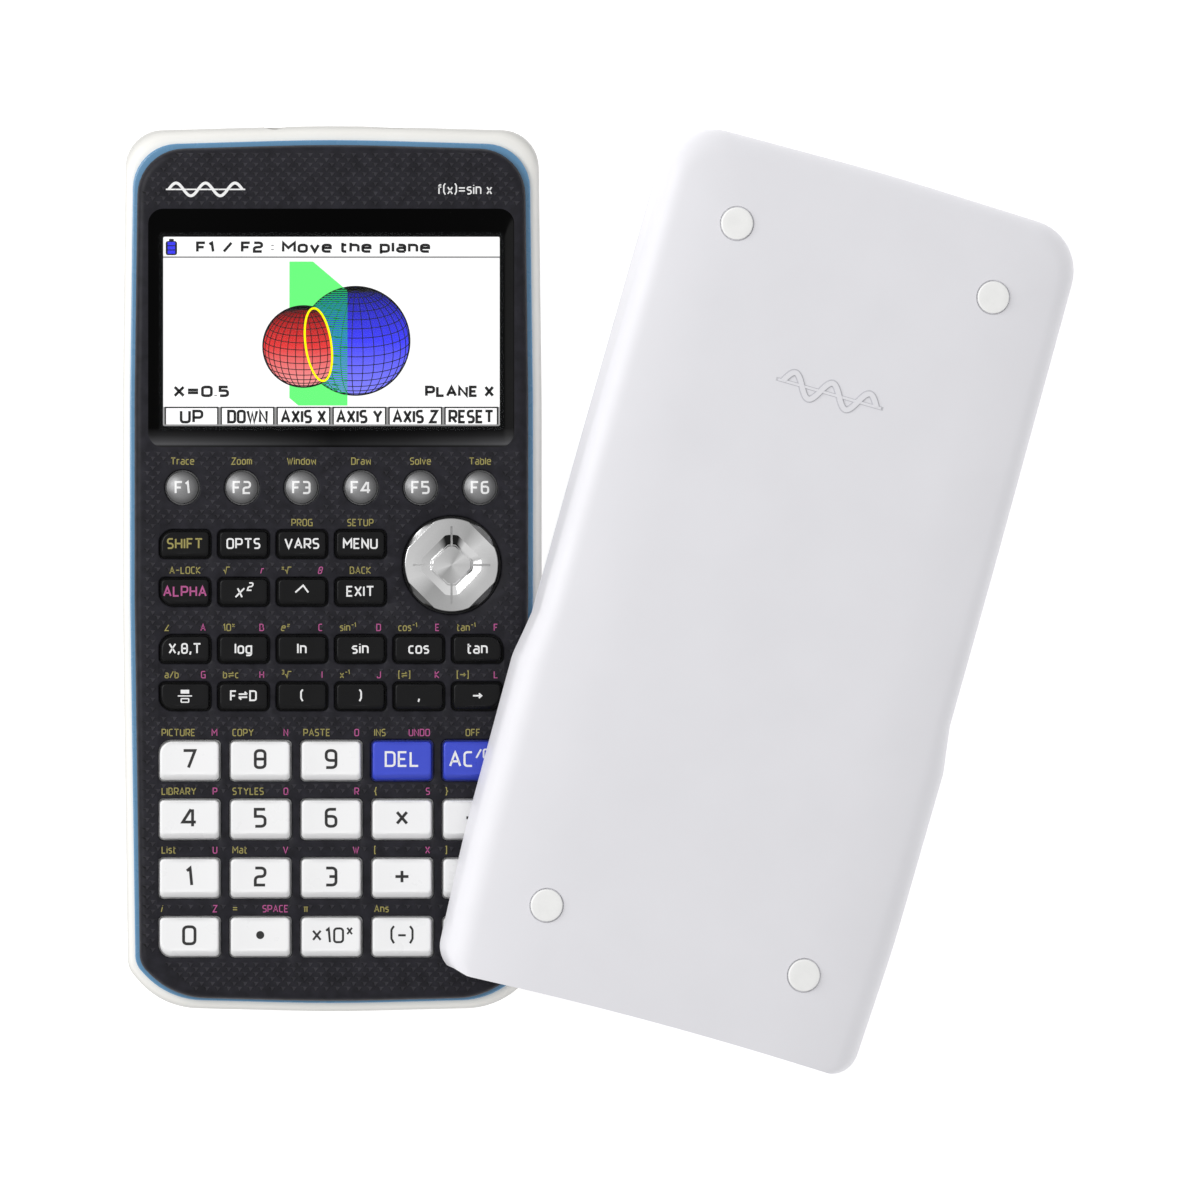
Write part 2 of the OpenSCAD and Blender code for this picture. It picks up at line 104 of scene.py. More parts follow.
def keys(names):
    return [name + "_key" for name in names.split()]


def labels(text):
    """Signs by key, from a text of key names, each followed by its sign."""
    words = text.split()
    return dict(zip(keys(" ".join(words[::2])), words[1::2]))


ROUND_KEYS = keys("f1 f2 f3 f4 f5 f6")
BLUE_KEYS = keys("delete clear")
WHITE_KEYS = keys("seven eight nine four five six multiply divide one two three plus minus zero point "
                  "exponent negate enter")
ALL_KEYS = sorted(n for n in frame["nodes"] if n.endswith("_key"))
DARK_KEYS = [n for n in ALL_KEYS if n not in ROUND_KEYS + BLUE_KEYS + WHITE_KEYS]
# Keys with one large corner: top right, low right, low left and top left, the order of span's radii.
LARGE_CORNER = [keys("tan clear"), keys("arrow enter"), keys("alpha fraction zero"),
                keys("shift unknown seven")]


def key_size(node):
    s = size_mm(node)
    return s.x - 2 * FLANGE_OUT, s.y - 2 * FLANGE_OUT


# ---- outlines
def corner_arc(a, b, c, r, steps):
    """Points of the arc of radius r that rounds corner b between a and c."""
    u, v = (a - b).normalized(), (c - b).normalized()
    half = u.angle(v) / 2
    centre = b + (u + v).normalized() * (r / math.sin(half))
    p = b + u * (r / math.tan(half)) - centre
    q = b + v * (r / math.tan(half)) - centre
    start = math.atan2(p.y, p.x)
    turn = math.atan2(p.x * q.y - p.y * q.x, p.dot(q))
    angles = [start + turn * i / steps for i in range(steps + 1)]
    return [centre + r * Vector((math.cos(t), math.sin(t))) for t in angles]


def rounded(corners, fine=10):
    """Closed outline through corners (x, y, radius); almost flat corners take few points."""
    points = []
    for i, (x, y, r) in enumerate(corners):
        before, after = corners[i - 1], corners[(i + 1) % len(corners)]
        steps = 4 if r > 50 else fine
        points += corner_arc(Vector(before[:2]), Vector((x, y)), Vector(after[:2]), r, steps)
    return points


def mirrored(right):
    return right + [(-x, y, r) for x, y, r in reversed(right) if x > 0]


def body_outline(side, top, end, r=8.0):
    """The calculator's outline pulled in by side, top and end."""
    hw, ht, hb = BODY_W / 2 - side, BODY_L / 2 - top, BODY_L / 2 - end
    right = [(0, ht, 400), (hw - 0.7, ht - 1.2, r), (hw, 36, 300), (hw, -7, 300),
             (hw - 1.1, 9.4 - BODY_L / 2 + 0.4 * end, 5), (hw - 8, 0.9 - hb, 17), (0, -hb, 400)]
    return rounded(mirrored(right))


def span(x0, x1, y0, y1, radii, fine=7):
    """Rectangle with its own radius at each corner, from the top right round to the top left."""
    return rounded([(x1, y1, radii[0]), (x1, y0, radii[1]), (x0, y0, radii[2]), (x0, y1, radii[3])], fine)


def rectangle(w, h, r, at=(0, 0), fine=8):
    x, y = at
    return span(x - w / 2, x + w / 2, y - h / 2, y + h / 2, [r] * 4, fine)


def circle(r, at=(0, 0), steps=48):
    angles = [-math.tau * i / steps for i in range(steps)]
    return [Vector((at[0] + r * math.cos(t), at[1] + r * math.sin(t))) for t in angles]


def quarter(r, steps):
    """Pairs (inset, drop) down a quarter circle of radius r, from the flat top outward."""
    angles = [math.pi / 2 * i / steps for i in range(steps + 1)]
    return [(r * (1 - math.sin(t)), r * (1 - math.cos(t))) for t in angles]


# ---- mesh helpers
def height_rule(z):
    """The height at x, y for a plain height or a rule."""
    return z if callable(z) else (lambda x, y: z)


def ring(bm, outline, z):
    """Vertices along an outline, at height z or at a height worked out for each point."""
    height = height_rule(z)
    return [bm.verts.new((p[0] * MM, p[1] * MM, height(p[0], p[1]) * MM)) for p in outline]


def loft(bm, rings, material=0):
    for a, b in zip(rings, rings[1:]):
        n = len(a)
        for i in range(n):
            face = bm.faces.new((a[i], a[(i + 1) % n], b[(i + 1) % n], b[i]))
            face.material_index = material


def cap(bm, verts, material=0):
    face = bm.faces.new(verts)
    face.material_index = material


def fill_between(bm, loops, material=0):
    """Flat face between an outer loop and the holes in it."""
    edges = []
    for loop in loops:
        for v, w in zip(loop, loop[1:] + loop[:1]):
            edges.append(bm.edges.get((v, w)))
    made = bmesh.ops.triangle_fill(bm, use_beauty=True, edges=edges, normal=(0, 0, 1))
    for g in made["geom"]:
        if isinstance(g, bmesh.types.BMFace):
            g.material_index = material


def skin(bm, levels, material=0, loop=False):
    """Wall through (outline, z) levels; loop joins the last one to the first. Returns its rings."""
    rings = [ring(bm, outline, z) for outline, z in levels]
    loft(bm, rings + rings[:1] if loop else rings, material)
    return rings


def closed_skin(bm, levels, material=0):
    rings = skin(bm, levels, material)
    cap(bm, rings[0][::-1], material)
    cap(bm, rings[-1], material)


def slab(bm, outline, z, thick, material=0):
    closed_skin(bm, [(outline, z), (outline, z + thick)], material)


def finish_mesh(name, bm, materials=(), recalc=True):
    if recalc:
        bmesh.ops.recalc_face_normals(bm, faces=bm.faces)
    mesh = bpy.data.meshes.new(name)
    bm.to_mesh(mesh)
    bm.free()
    for m in materials:
        mesh.materials.append(m)
    piece = bpy.data.objects.new(name, mesh)
    bpy.context.scene.collection.objects.link(piece)
    return piece


def solid(levels, name="tool", materials=()):
    """Closed solid lofted through (outline, z) levels."""
    bm = bmesh.new()
    closed_skin(bm, levels)
    return finish_mesh(name, bm, materials)


def turned(at, profile, steps=48):
    """Solid of revolution through (radius, z) pairs."""
    return solid([(circle(r, at, steps), z) for r, z in profile])


def block(x, y, z, name="tool", materials=()):
    corners = [(x[0], y[0]), (x[0], y[1]), (x[1], y[1]), (x[1], y[0])]
    return solid([(corners, z[0]), (corners, z[1])], name, materials)


def forget(piece):
    data = piece.data
    bpy.data.objects.remove(piece)
    bpy.data.meshes.remove(data)


def carve(piece, tools, operation="DIFFERENCE"):
    """Combines the piece with the tools, and leaves plain mesh data."""
    for i, tool in enumerate(tools):
        mod = piece.modifiers.new("carve%d" % i, "BOOLEAN")
        mod.operation = operation
        mod.solver = "EXACT"
        mod.object = tool
    bpy.context.view_layer.update()
    graph = bpy.context.evaluated_depsgraph_get()
    got = bpy.data.meshes.new_from_object(piece.evaluated_get(graph))
    piece.modifiers.clear()
    old, piece.data = piece.data, got
    bpy.data.meshes.remove(old)
    for tool in tools:
        forget(tool)
    return piece


def move(piece, matrix):
    piece.data.transform(matrix)
    return piece


def crisp(piece, degrees):
    """Smooth shading, with edges where faces meet at more than this angle."""
    for p in piece.data.polygons:
        p.use_smooth = True
    piece.data.set_sharp_from_angle(angle=math.radians(degrees))
    return piece


def place(piece, body, slot, *nodes):
    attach(piece, body)
    if nodes:
        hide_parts(*nodes)
    return piece


# ---- line lettering
# Every sign is drawn with straight pen strokes on a grid 12 high. A * marks a rounded corner, and x, y, z
# are one, two and three steps below the line. The number after the sign is its width.
SIGNS = """
A 8 004c80 1474|B 7 0666*6c*0c0070*76*06|C 6 6c0c*00*60|D 7 0c7c*70*000c|E 6 6c0c0060 0656|F 6 6c0c00 0656
G 7 7c0c*00*707646|H 7 000c 707c 0676|I 0 000c|J 6 6c60*00*03|K 7 000c 7c0670|L 6 0c0060|M 9 000c459c90
N 7 000c707c|O 7 040c*7c*70*00*04|P 7 000c7c*75*05|Q 7 040c*7c*70*00*04 5381|R 7 000c7c*75*05 3570
S 6 6c0c*06*66*60*00|T 8 0c8c 4c40|U 7 0c00*70*7c|V 8 0c408c|W a 0c305a70ac|X 7 007c 0c70|Y 8 0c468c 4640
Z 7 0c7c0070|a 6 1969*60 6000*05*65|b 6 0c00 0060*69*09|c 5 5909*00*50|d 6 6c60 6000*09*69|e 6 6000*09*69*6505
f 4 4c1c*10 0949|g 6 6000*09*696z*0z|h 6 000c 0969*60|i 0 0009 0b0c|l 0 000c|m 9 000989*80 4940|n 6 000969*60
o 6 0409*69*60*00*04|p 6 0z0969*60*00|r 4 000949|s 5 5909*05*55*50*00|t 4 1c10*40 0949|u 6 0900*60 6960
v 6 093069|w 8 0920478089|x 6 0069 0960|y 6 0900*60 696z*0z|z 6 09690060
0 7 040c*7c*70*00*04|1 3 0a2c30|2 6 0c6c*66*06*0060|3 6 0c6c*60*00 2666|4 8 606c 5c0383|5 6 6c0c0767*60*00
6 6 6c0c*00*60*67*07|7 7 0c7c30|8 6 040c*6c*60*00*04 0666|9 6 6505*0c*6c*60*00|( 2 2e0b*03*2x|) 2 0e2b*23*0x
[ 2 2d0d0x2x|] 2 0d2d2x0x|{ 4 4d2d*28*0624*2x*4x|} 4 0d2d*28*4624*2x*0x|, 1 120y|. 0 0001|: 0 0203 0809
+ 8 0686 4a42|- 6 0666|* 8 1a72 127a|~ 8 0686 4b4a 4241|= 8 0484 0888|^ a 056ba5|/ 6 006c|> a 06a6 79a673
@ a 08a8 7ba8 a404 3104|% c 0626406ccc|! 7 7b0070|# 8 0989 2920 6960|& 6 040c*6c*60*00*04 0666
"""
GRID = 12.0
SMALL = 0.62  # size of raised small signs


def grid_step(mark):
    return -1 - "xyz".index(mark) if mark in "xyz" else int(mark, 16)


def pen_path(marks, radius=2.4):
    """Points of one stroke with its starred corners rounded, and whether it closes on itself."""
    points = [(Vector((grid_step(x), grid_step(y))), star) for x, y, star in marks]
    closed = len(points) > 2 and points[0][0] == points[-1][0]
    if closed:
        points = points[:-1]
    path = []
    for i, (here, star) in enumerate(points):
        if not star:
            path.append(here)
            continue
        before, after = points[i - 1][0], points[(i + 1) % len(points)][0]
        tan_half = math.tan((before - here).angle(after - here) / 2)
        reach = 0.5 * min((before - here).length, (after - here).length)
        path += corner_arc(before, here, after, min(radius, reach * tan_half), 4)
    return path, closed


def read_signs():
    signs = {}
    for entry in "|".join(SIGNS.strip().splitlines()).split("|"):
        name, width, *strokes = entry.split()
        marks = [re.findall(r"([0-9a-fxyz])([0-9a-fxyz])(\*?)", stroke) for stroke in strokes]
        signs[name] = (int(width, 16), [pen_path(m) for m in marks])
    return signs


SIGN_SHAPES = read_signs()


def subdivided(path, closed, step):
    """The same line with no part longer than step."""
    ends = list(zip(path, path[1:] + path[:1])) if closed else list(zip(path, path[1:]))
    points = []
    for a, b in ends:
        n = max(1, math.ceil((b - a).length / step))
        points += [a.lerp(b, i / n) for i in range(n)]
    return points if closed else points + [path[-1]]


def ribbon(bm, path, closed, width, z, thick, material=0):
    """Flat raised stroke along a path, with mitred corners; z is its underside."""
    if callable(z):
        path = subdivided(path, closed, 0.5)
    height = height_rule(z)
    rows = []
    for i, p in enumerate(path):
        first, last = i == 0 and not closed, i == len(path) - 1 and not closed
        into = None if first else (p - path[i - 1]).normalized()
        out = None if last else (path[(i + 1) % len(path)] - p).normalized()
        into, out = into or out, out or into
        along = (into + out).normalized() if (into + out).length > 1e-6 else into
        side = Vector((-along.y, along.x)) * (width / 2 / max(0.5, along.dot(into)))
        row = []
        for q, rise in ((p + side, thick), (p - side, thick), (p - side, 0), (p + side, 0)):
            row.append(bm.verts.new((q.x * MM, q.y * MM, (height(q.x, q.y) + rise) * MM)))
        rows.append(row)
    if closed:
        rows.append(rows[0])
    for a, b in zip(rows, rows[1:]):
        for k in range(4):
            face = bm.faces.new((a[k], a[(k + 1) % 4], b[(k + 1) % 4], b[k]))
            face.material_index = material
    if not closed:
        cap(bm, rows[0], material)
        cap(bm, rows[-1][::-1], material)


def write(bm, text, x, y, tall, z, pen, thick=0.05, align=0.5, material=0, slant=0.0, stretch=1.0, gap=3.4):
    """Pens a line of signs with its middle at height y; | goes to small raised signs and back.
    align is 0 when x is the left end, 0.5 for the middle and 1 for the right end."""
    drawn, reach, small = [], 0.0, 1.0
    for sign in text:
        if sign == "|":
            small = SMALL if small == 1.0 else 1.0
        elif sign == " ":
            reach += 5 * small
        else:
            width, strokes = SIGN_SHAPES[sign]
            drawn.append((strokes, reach, small))
            reach += (width + gap) * small
    scale = tall / GRID
    start = x - align * (reach - gap) * scale * stretch
    for strokes, at, k in drawn:
        lift = 0 if k == 1.0 else 7
        for path, closed in strokes:
            line = []
            for p in path:
                up = (p.y * k + lift - GRID / 2) * scale
                line.append(Vector((start + (at + p.x * k) * scale * stretch + slant * up, y + up)))
            ribbon(bm, line, closed, pen * (0.85 if k < 1 else 1), z, thick, material)


# ---- materials
class Finish:
    """A principled material that grows procedural layers."""

    def __init__(self, name):
        self.material = bpy.data.materials.new(name)
        self.material.use_nodes = True
        self.tree = self.material.node_tree
        self.shader = self.tree.nodes["Principled BSDF"]
        self.place = self.add("ShaderNodeTexCoord").outputs["Object"]

    def add(self, kind, feeds=None, **settings):
        """New node with its settings, and its inputs fed with sockets or plain values."""
        node = self.tree.nodes.new(kind)
        for key, value in settings.items():
            setattr(node, key, value)
        for name, source in (feeds or {}).items():
            if isinstance(source, bpy.types.NodeSocket):
                self.tree.links.new(source, node.inputs[name])
            else:
                node.inputs[name].default_value = source
        return node

    def link(self, a, b):
        self.tree.links.new(a, b)

    def set(self, **values):
        for key, value in values.items():
            self.shader.inputs[key.replace("_", " ")].default_value = value
        return self

    def mapped(self, scale=(1, 1, 1), shift=(0, 0, 0)):
        feeds = {"Location": shift, "Scale": scale, "Vector": self.place}
        return self.add("ShaderNodeMapping", feeds).outputs["Vector"]

    def noise(self, scale, detail=3.0, rough=0.5, source=None):
        feeds = {"Scale": scale, "Detail": detail, "Roughness": rough, "Vector": source or self.place}
        return self.add("ShaderNodeTexNoise", feeds).outputs["Fac"]

    def ramp(self, value, stops):
        node = self.add("ShaderNodeValToRGB", {"Fac": value})
        elements = node.color_ramp.elements
        while len(elements) < len(stops):
            elements.new(0.5)
        for e, (at, colour) in zip(elements, stops):
            e.position = at
            e.color = (*colour, 1)
        return node.outputs["Color"]

    def colour(self, value, stops, socket="Base Color"):
        self.link(self.ramp(value, stops), self.shader.inputs[socket])
        return self

    def drift(self, scale, rgb, amount, detail=4):
        """Colour that wanders a little about rgb."""
        stops = [(0.3, shade(rgb, 1 - amount)), (0.7, shade(rgb, 1 + amount))]
        return self.colour(self.noise(scale, detail), stops)

    def fade(self, value, low, high, start=0.0, end=1.0):
        """Goes from start at low to end at high."""
        feeds = {"From Min": low, "From Max": high, "To Min": start, "To Max": end, "Value": value}
        return self.add("ShaderNodeMapRange", feeds).outputs["Result"]

    def vary(self, value, low, high):
        """Roughness that wanders from low to high."""
        self.link(self.fade(value, 0.3, 0.7, low, high), self.shader.inputs["Roughness"])
        return self

    def axis(self, name, socket="Object"):
        """One coordinate of the object's own space, or of its surface direction."""
        source = self.add("ShaderNodeTexCoord").outputs[socket]
        return self.add("ShaderNodeSeparateXYZ", {"Vector": source}).outputs[name]

    def mix(self, factor, other, blend="MIX"):
        """Mixes something into the colour so far."""
        socket = self.shader.inputs["Base Color"]
        feeds = {"Factor": factor, "A": socket.links[0].from_socket, "B": other}
        node = self.add("ShaderNodeMix", feeds, data_type="RGBA", blend_type=blend)
        self.link(node.outputs["Result"], socket)
        return self

    def tint(self, value, stops):
        """Multiplies the colour so far by a ramp of greys."""
        return self.mix(1.0, self.ramp(value, greys(stops)), "MULTIPLY")

    def wear_and_highlight(self, rgb, amount=0.6, radius=0.0002):
        """Blends an edge colour in along the edges, in patches: wear, and on dark plastics also a painted
        highlight.
        """
        soft = self.add("ShaderNodeBevel", {"Radius": radius}, samples=4).outputs["Normal"]
        sharp = self.add("ShaderNodeNewGeometry").outputs["Normal"]
        turn = self.add("ShaderNodeVectorMath", operation="DOT_PRODUCT")
        self.link(soft, turn.inputs[0])
        self.link(sharp, turn.inputs[1])
        part = self.add("ShaderNodeMath", operation="MULTIPLY")
        self.link(self.fade(turn.outputs["Value"], 0.995, 0.9), part.inputs[0])
        self.link(self.fade(self.noise(420, 5, 0.6), 0.35, 0.6, 0.0, amount), part.inputs[1])
        return self.mix(part.outputs[0], (*rgb, 1))

    def bump(self, value, strength, distance=0.00004):
        node = self.add("ShaderNodeBump", {"Strength": strength, "Distance": distance, "Height": value})
        last = self.shader.inputs["Normal"]
        if last.is_linked:
            self.link(last.links[0].from_socket, node.inputs["Normal"])
        self.link(node.outputs["Normal"], last)
        return self


def shade(rgb, k):
    return tuple(min(1.0, c * k) for c in rgb)


def greys(stops):
    return [(at, (g, g, g)) for at, g in stops]


def wear_and_highlight_colour(rgb):
    """The colour a plastic takes along its edges: pale ones dull with wear, dark ones lighten with wear and a
    painted highlight.
    """
    return shade(rgb, 0.88) if sum(rgb) > 1.2 else tuple(1.3 * c + 0.03 for c in rgb)


def surface(name, drift, gloss, grain=None, wear_and_highlight=None, **values):
    """Drifting colour, edges with wear (on dark plastics also a painted highlight), uneven gloss and fine
    grain, each with the arguments of its method.
    In gloss and grain the scale and the detail of a noise come first."""
    m = Finish(name).drift(*drift)
    if wear_and_highlight:
        m.wear_and_highlight(*wear_and_highlight)
    m.vary(m.noise(*gloss[:2]), *gloss[2:])
    if grain:
        m.bump(m.noise(*grain[:2]), *grain[2:])
    return m.set(**values)


def plastic(name, rgb, rough, grain=9000, depth=0.12, mottle=0.03, coat=0.0, gloss=0.5):
    """Moulded plastic."""
    # Edges take wear, which on dark plastics also stands as a painted highlight.
    return surface(name, (60, rgb, mottle), (220, 5, rough - 0.05, rough + 0.06), (grain, 2, depth),
                   [wear_and_highlight_colour(rgb)], Coat_Weight=coat, Coat_Roughness=0.12, Specular_IOR_Level=gloss).material


def case_white():
    """White plastic of the case, with painted shade that greys it below its rim."""
    m = surface("case_white", (60, (0.86, 0.85, 0.815), 0.015), (220, 5, 0.32, 0.44), (5200, 2, 0.18),
                [(0.74, 0.73, 0.70)])
    # Painted shade by height: greyer down the sides, darkest at the shoulder below the rim.
    heights = [(0.0, 0.84), (0.74, 0.76), (0.785, 0.58), (0.89, 0.64), (0.93, 0.82), (0.965, 0.94),
               (1.0, 0.97)]
    return m.tint(m.fade(m.axis("Z"), 0.0, REAR_Z * MM), heights).material


def face_black(name, rgb):
    """Matt black moulding of the face plate."""
    # Its edges lighten with wear and a painted highlight.
    return surface(name, (420, rgb, 0.3), (400, 5, 0.36, 0.48), (6500, 2, 0.25), (wear_and_highlight_colour(rgb), 0.4),
                   Specular_IOR_Level=0.15).material


def metal(name, rgb, stretch=(1, 1, 1)):
    """Metal with fine streaks in its colour, gloss and surface."""
    m = Finish(name)
    streak = m.noise(1500, 4, source=m.mapped(stretch))
    m.colour(streak, [(0.3, shade(rgb, 0.85)), (0.7, shade(rgb, 1.08))])
    return m.vary(streak, 0.25, 0.38).bump(streak, 0.1, 0.00003).set(Metallic=1.0).material


def ink(name, rgb):
    """Printed ink with slightly uneven cover."""
    return surface(name, (2500, rgb, 0.08), (3000, 3, 0.42, 0.55), (9000, 3, 0.1, 0.00001)).material


def light_ink(name, rgb, glow, body=1.0, alpha=1.0):
    """Lit display pixels: a fine pixel grid over an even glow."""
    m = Finish(name)
    feeds = {"Scale": 1700, "Vector": m.place}
    wave = m.add("ShaderNodeTexWave", feeds, wave_type="BANDS", bands_direction="X").outputs["Fac"]
    m.colour(wave, [(0.0, shade(rgb, 0.97 * body)), (1.0, shade(rgb, body))])
    m.colour(wave, [(0.0, shade(rgb, 0.97)), (1.0, rgb)], "Emission Color")
    m.vary(m.noise(800), 0.4, 0.5)
    return m.set(Emission_Strength=glow, Alpha=alpha, Specular_IOR_Level=0.0).material


def ball_ink(name, stops, low, high):
    """Lit pixels shaded from low to high along Y."""
    m = Finish(name)
    fade = m.fade(m.axis("Y"), low * MM, high * MM)
    m.colour(fade, [(at, shade(c, 0.2)) for at, c in stops])
    m.colour(fade, stops, "Emission Color")
    m.vary(m.noise(800), 0.4, 0.5)
    return m.set(Emission_Strength=1.0, Specular_IOR_Level=0.0).material


def bezel_gloss():
    """Polished black of the display's surround, with painted light along its lower slope and painted
    highlights at its left and right ends.
    """
    m = Finish("bezel_gloss")
    low, high = BEVEL_Y - BEVEL[1] / 2, WINDOW_Y - WINDOW[1] / 2 + 0.4
    # Painted light: greys that brighten the lower slope and fade to black toward the window.
    slope = [(0.0, 0.02), (0.1, 0.085), (0.3, 0.05), (0.6, 0.018), (1.0, 0.0008)]
    m.colour(m.fade(m.axis("Y"), low * MM, high * MM), [(at, (g, g, 1.05 * g)) for at, g in slope])
    half = BEVEL[0] / 2 * MM
    # Painted highlights: brightest at the left and right ends, darkest in the middle.
    sides = [(0.0, 1.0), (0.3, 0.5), (0.5, 0.15), (0.7, 0.3), (0.88, 0.6), (1.0, 1.0)]
    m.tint(m.fade(m.axis("X"), -half, half), sides)
    m.vary(m.noise(300, 4), 0.16, 0.24)
    return m.bump(m.noise(900, 2), 0.04, 0.00002).set(Specular_IOR_Level=0.04).material


def key_silver():
    """Satin metallic paint, with painted shade toward the sides of a key and on its right side."""
    m = Finish("key_silver")
    flake = m.noise(16000, 2)
    m.colour(flake, [(0.3, (0.25, 0.25, 0.255)), (0.7, (0.35, 0.35, 0.355))])
    # Painted shade where the dome turns away from straight up.
    m.tint(m.fade(m.axis("Z", "Normal"), 0.86, 1.0), [(0.0, 0.25), (0.3, 0.45), (0.7, 0.85), (1.0, 1.0)])
    # Painted shade on faces turned to the right, away from the lamp.
    m.tint(m.fade(m.axis("X", "Normal"), -0.4, 0.4), [(0.0, 1.0), (1.0, 0.8)])
    m.vary(m.noise(900, 3), 0.34, 0.44)
    return m.bump(flake, 0.15, 0.00002).set(Metallic=0.6).material


def pad_metal(name, painted_light_sectors, rough=0.26):
    """Spun metal: fine rings about the pad's axis, with painted highlights and painted shade in sectors
    counted from +X leftward.
    """
    m = Finish(name)
    centred = m.mapped((-1, -1, 1), (PAD.x * MM, PAD.y * MM, 0))
    feeds = {"Scale": 1500, "Distortion": 1.2, "Detail": 2, "Vector": centred}
    rings = m.add("ShaderNodeTexWave", feeds, wave_type="RINGS", rings_direction="Z").outputs["Fac"]
    spin = m.add("ShaderNodeTexGradient", {"Vector": centred}, gradient_type="RADIAL").outputs["Fac"]
    m.colour(spin, greys(painted_light_sectors)).vary(rings, rough, rough + 0.1)
    return m.bump(rings, 0.12, 0.00002).set(Metallic=1.0).material


def board_green():
    """Green solder mask with a faint grid of copper tracks under it."""
    m = Finish("board_green")
    feeds = {"Color1": (0.008, 0.105, 0.038, 1), "Color2": (0.010, 0.125, 0.045, 1),
             "Mortar": (0.035, 0.21, 0.075, 1), "Scale": 150, "Mortar Size": 0.035, "Vector": m.place}
    tracks = m.add("ShaderNodeTexBrick", feeds)
    m.link(tracks.outputs["Color"], m.shader.inputs["Base Color"])
    m.vary(m.noise(300), 0.3, 0.42)
    return m.bump(tracks.outputs["Fac"], 0.3, 0.00003).set(Coat_Weight=0.3).material


def cell_jacket():
    """Printed sleeve of the cells: copper band toward the display end, graphite below, bare steel ends."""
    m = Finish("cell_jacket")
    low, high = [corner.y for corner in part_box("batteries")]
    steel, copper, dark = (0.55, 0.55, 0.56), (0.55, 0.24, 0.09), (0.035, 0.036, 0.04)
    bands = [(0.02, steel), (0.025, dark), (0.66, dark), (0.665, copper), (0.96, copper), (0.965, steel)]
    grime = m.noise(500, 5, 0.6)
    m.colour(m.fade(m.axis("Y"), low, high), bands).tint(grime, [(0.3, 0.82), (0.6, 1.0)])
    return m.vary(grime, 0.24, 0.36).bump(m.noise(2500, 3), 0.06, 0.00002).set(Metallic=0.7).material


WHITE = case_white()
COVER = plastic("cover_grey", (0.805, 0.80, 0.835), 0.42, 4200, 0.22, 0.012, gloss=0.3)
# Darker grey for a painted shadow line round the raised sign on the cover.
COVER_PAINTED_SHADOW = plastic("cover_painted_shadow", (0.60, 0.60, 0.63), 0.5, 4200, 0.22, gloss=0.2)
BLUE_BAND = plastic("trim_blue", (0.095, 0.25, 0.43), 0.26, 5000, 0.08, coat=0.4)
BLACK = face_black("face_black", (0.0138, 0.0133, 0.0178))
# Lit and shaded copies of the face black: painted light on the scales' tops, painted shade on their steep
# sides.
SCALE_PAINTED_LIT = face_black("scale_painted_lit", (0.026, 0.025, 0.031))
SCALE_PAINTED_SHADE = face_black("scale_painted_shade", (0.003, 0.003, 0.004))
GLOSS = bezel_gloss()
KEY_WHITE = plastic("key_white", (0.86, 0.86, 0.865), 0.30, 7000, 0.06, 0.012)
KEY_BLUE = plastic("key_blue", (0.035, 0.062, 0.56), 0.30, 7000, 0.06, 0.05)
KEY_BLACK = plastic("key_black", (0.0055, 0.0055, 0.006), 0.30, 7000, 0.08, 0.15, gloss=0.16)
KEY_SILVER = key_silver()
# Greys by angle round the pad are painted highlights and painted shade: the top, the sunk ring's slopes and
# the outer flats each have their own.
PAD_METAL = pad_metal("pad_metal", [(0.0, 0.62), (0.10, 0.80), (0.17, 0.46), (0.30, 0.62), (0.45, 0.72),
                                    (0.55, 0.80), (0.64, 0.44), (0.74, 0.50), (0.88, 0.66), (1.0, 0.62)])
PAD_SLOPE = pad_metal("pad_slope", [(0.0, 0.35), (0.06, 0.95), (0.16, 0.9), (0.21, 0.02), (0.29, 0.02),
                                    (0.34, 0.5), (0.5, 0.75), (0.6, 0.8), (0.72, 0.95), (0.9, 0.95),
                                    (0.94, 0.3), (1.0, 0.35)], 0.15)
PAD_FLAT = pad_metal("pad_flat", [(0.0, 0.2), (0.2, 0.22), (0.3, 0.6), (0.45, 0.6), (0.55, 0.16), (0.7, 0.16),
                                  (0.8, 0.09), (1.0, 0.1)], 0.2)
PAD_DARK = plastic("pad_side", (0.02, 0.02, 0.022), 0.35)
RUBBER = surface("foot_rubber", (400, (0.90, 0.90, 0.89), 0.02), (600, 4, 0.6, 0.72),
                 (5200, 3, 0.3, 0.00005)).material
SILICONE = surface("silicone", (300, (0.42, 0.43, 0.44), 0.05), (600, 4, 0.55, 0.7), (5200, 3, 0.3),
                   Subsurface_Weight=0.15).material
CLEAR = surface("window_clear", (40, (0.20, 0.21, 0.22), 0.05), (500, 4, 0.03, 0.07),
                (1800, 4, 0.02, 0.00001), Alpha=0.02, IOR=1.45, Specular_IOR_Level=0.1).material
FLOOR = surface("floor_pale", (3, (0.88, 0.88, 0.88), 0.01, 3), (20, 3, 0.8, 0.9),
                Emission_Color=(1, 1, 1, 1), Emission_Strength=0.5).material
INKS = [ink("ink_white", (0.80, 0.80, 0.80)), ink("ink_yellow", (0.30, 0.26, 0.07)),
        ink("ink_pink", (0.42, 0.07, 0.24)), ink("ink_black", (0.012, 0.012, 0.012))]
WHITE_INK, YELLOW_INK, PINK_INK, BLACK_INK = range(4)


# ---- case shells
def rear_levels(steps=9):
    """Outlines up the outside of the rear case, with its rounded back edge and its shoulder."""
    levels = [(body_outline(inset, inset, inset), z) for inset, z in quarter(3, 8)]
    for i in range(steps + 1):
        t = math.pi / 2 * i / steps
        k = 1 - math.cos(t)
        outline = body_outline(*[v * k for v in RIM_INSET], 8 + 1.5 * k)
        levels.append((outline, SHOULDER_Z + (REAR_Z - SHOULDER_Z) * math.sin(t)))
    return levels


def end_tool(outline):
    """Cutter with the given outline in X and Z, run through the wall at the display end."""
    tool = solid([(outline, 85), (outline, 100)])
    move(tool, Matrix(((1, 0, 0, 0), (0, 0, 1, 0), (0, 1, 0, 0), (0, 0, 0, 1))))
    tool.data.flip_normals()
    return tool


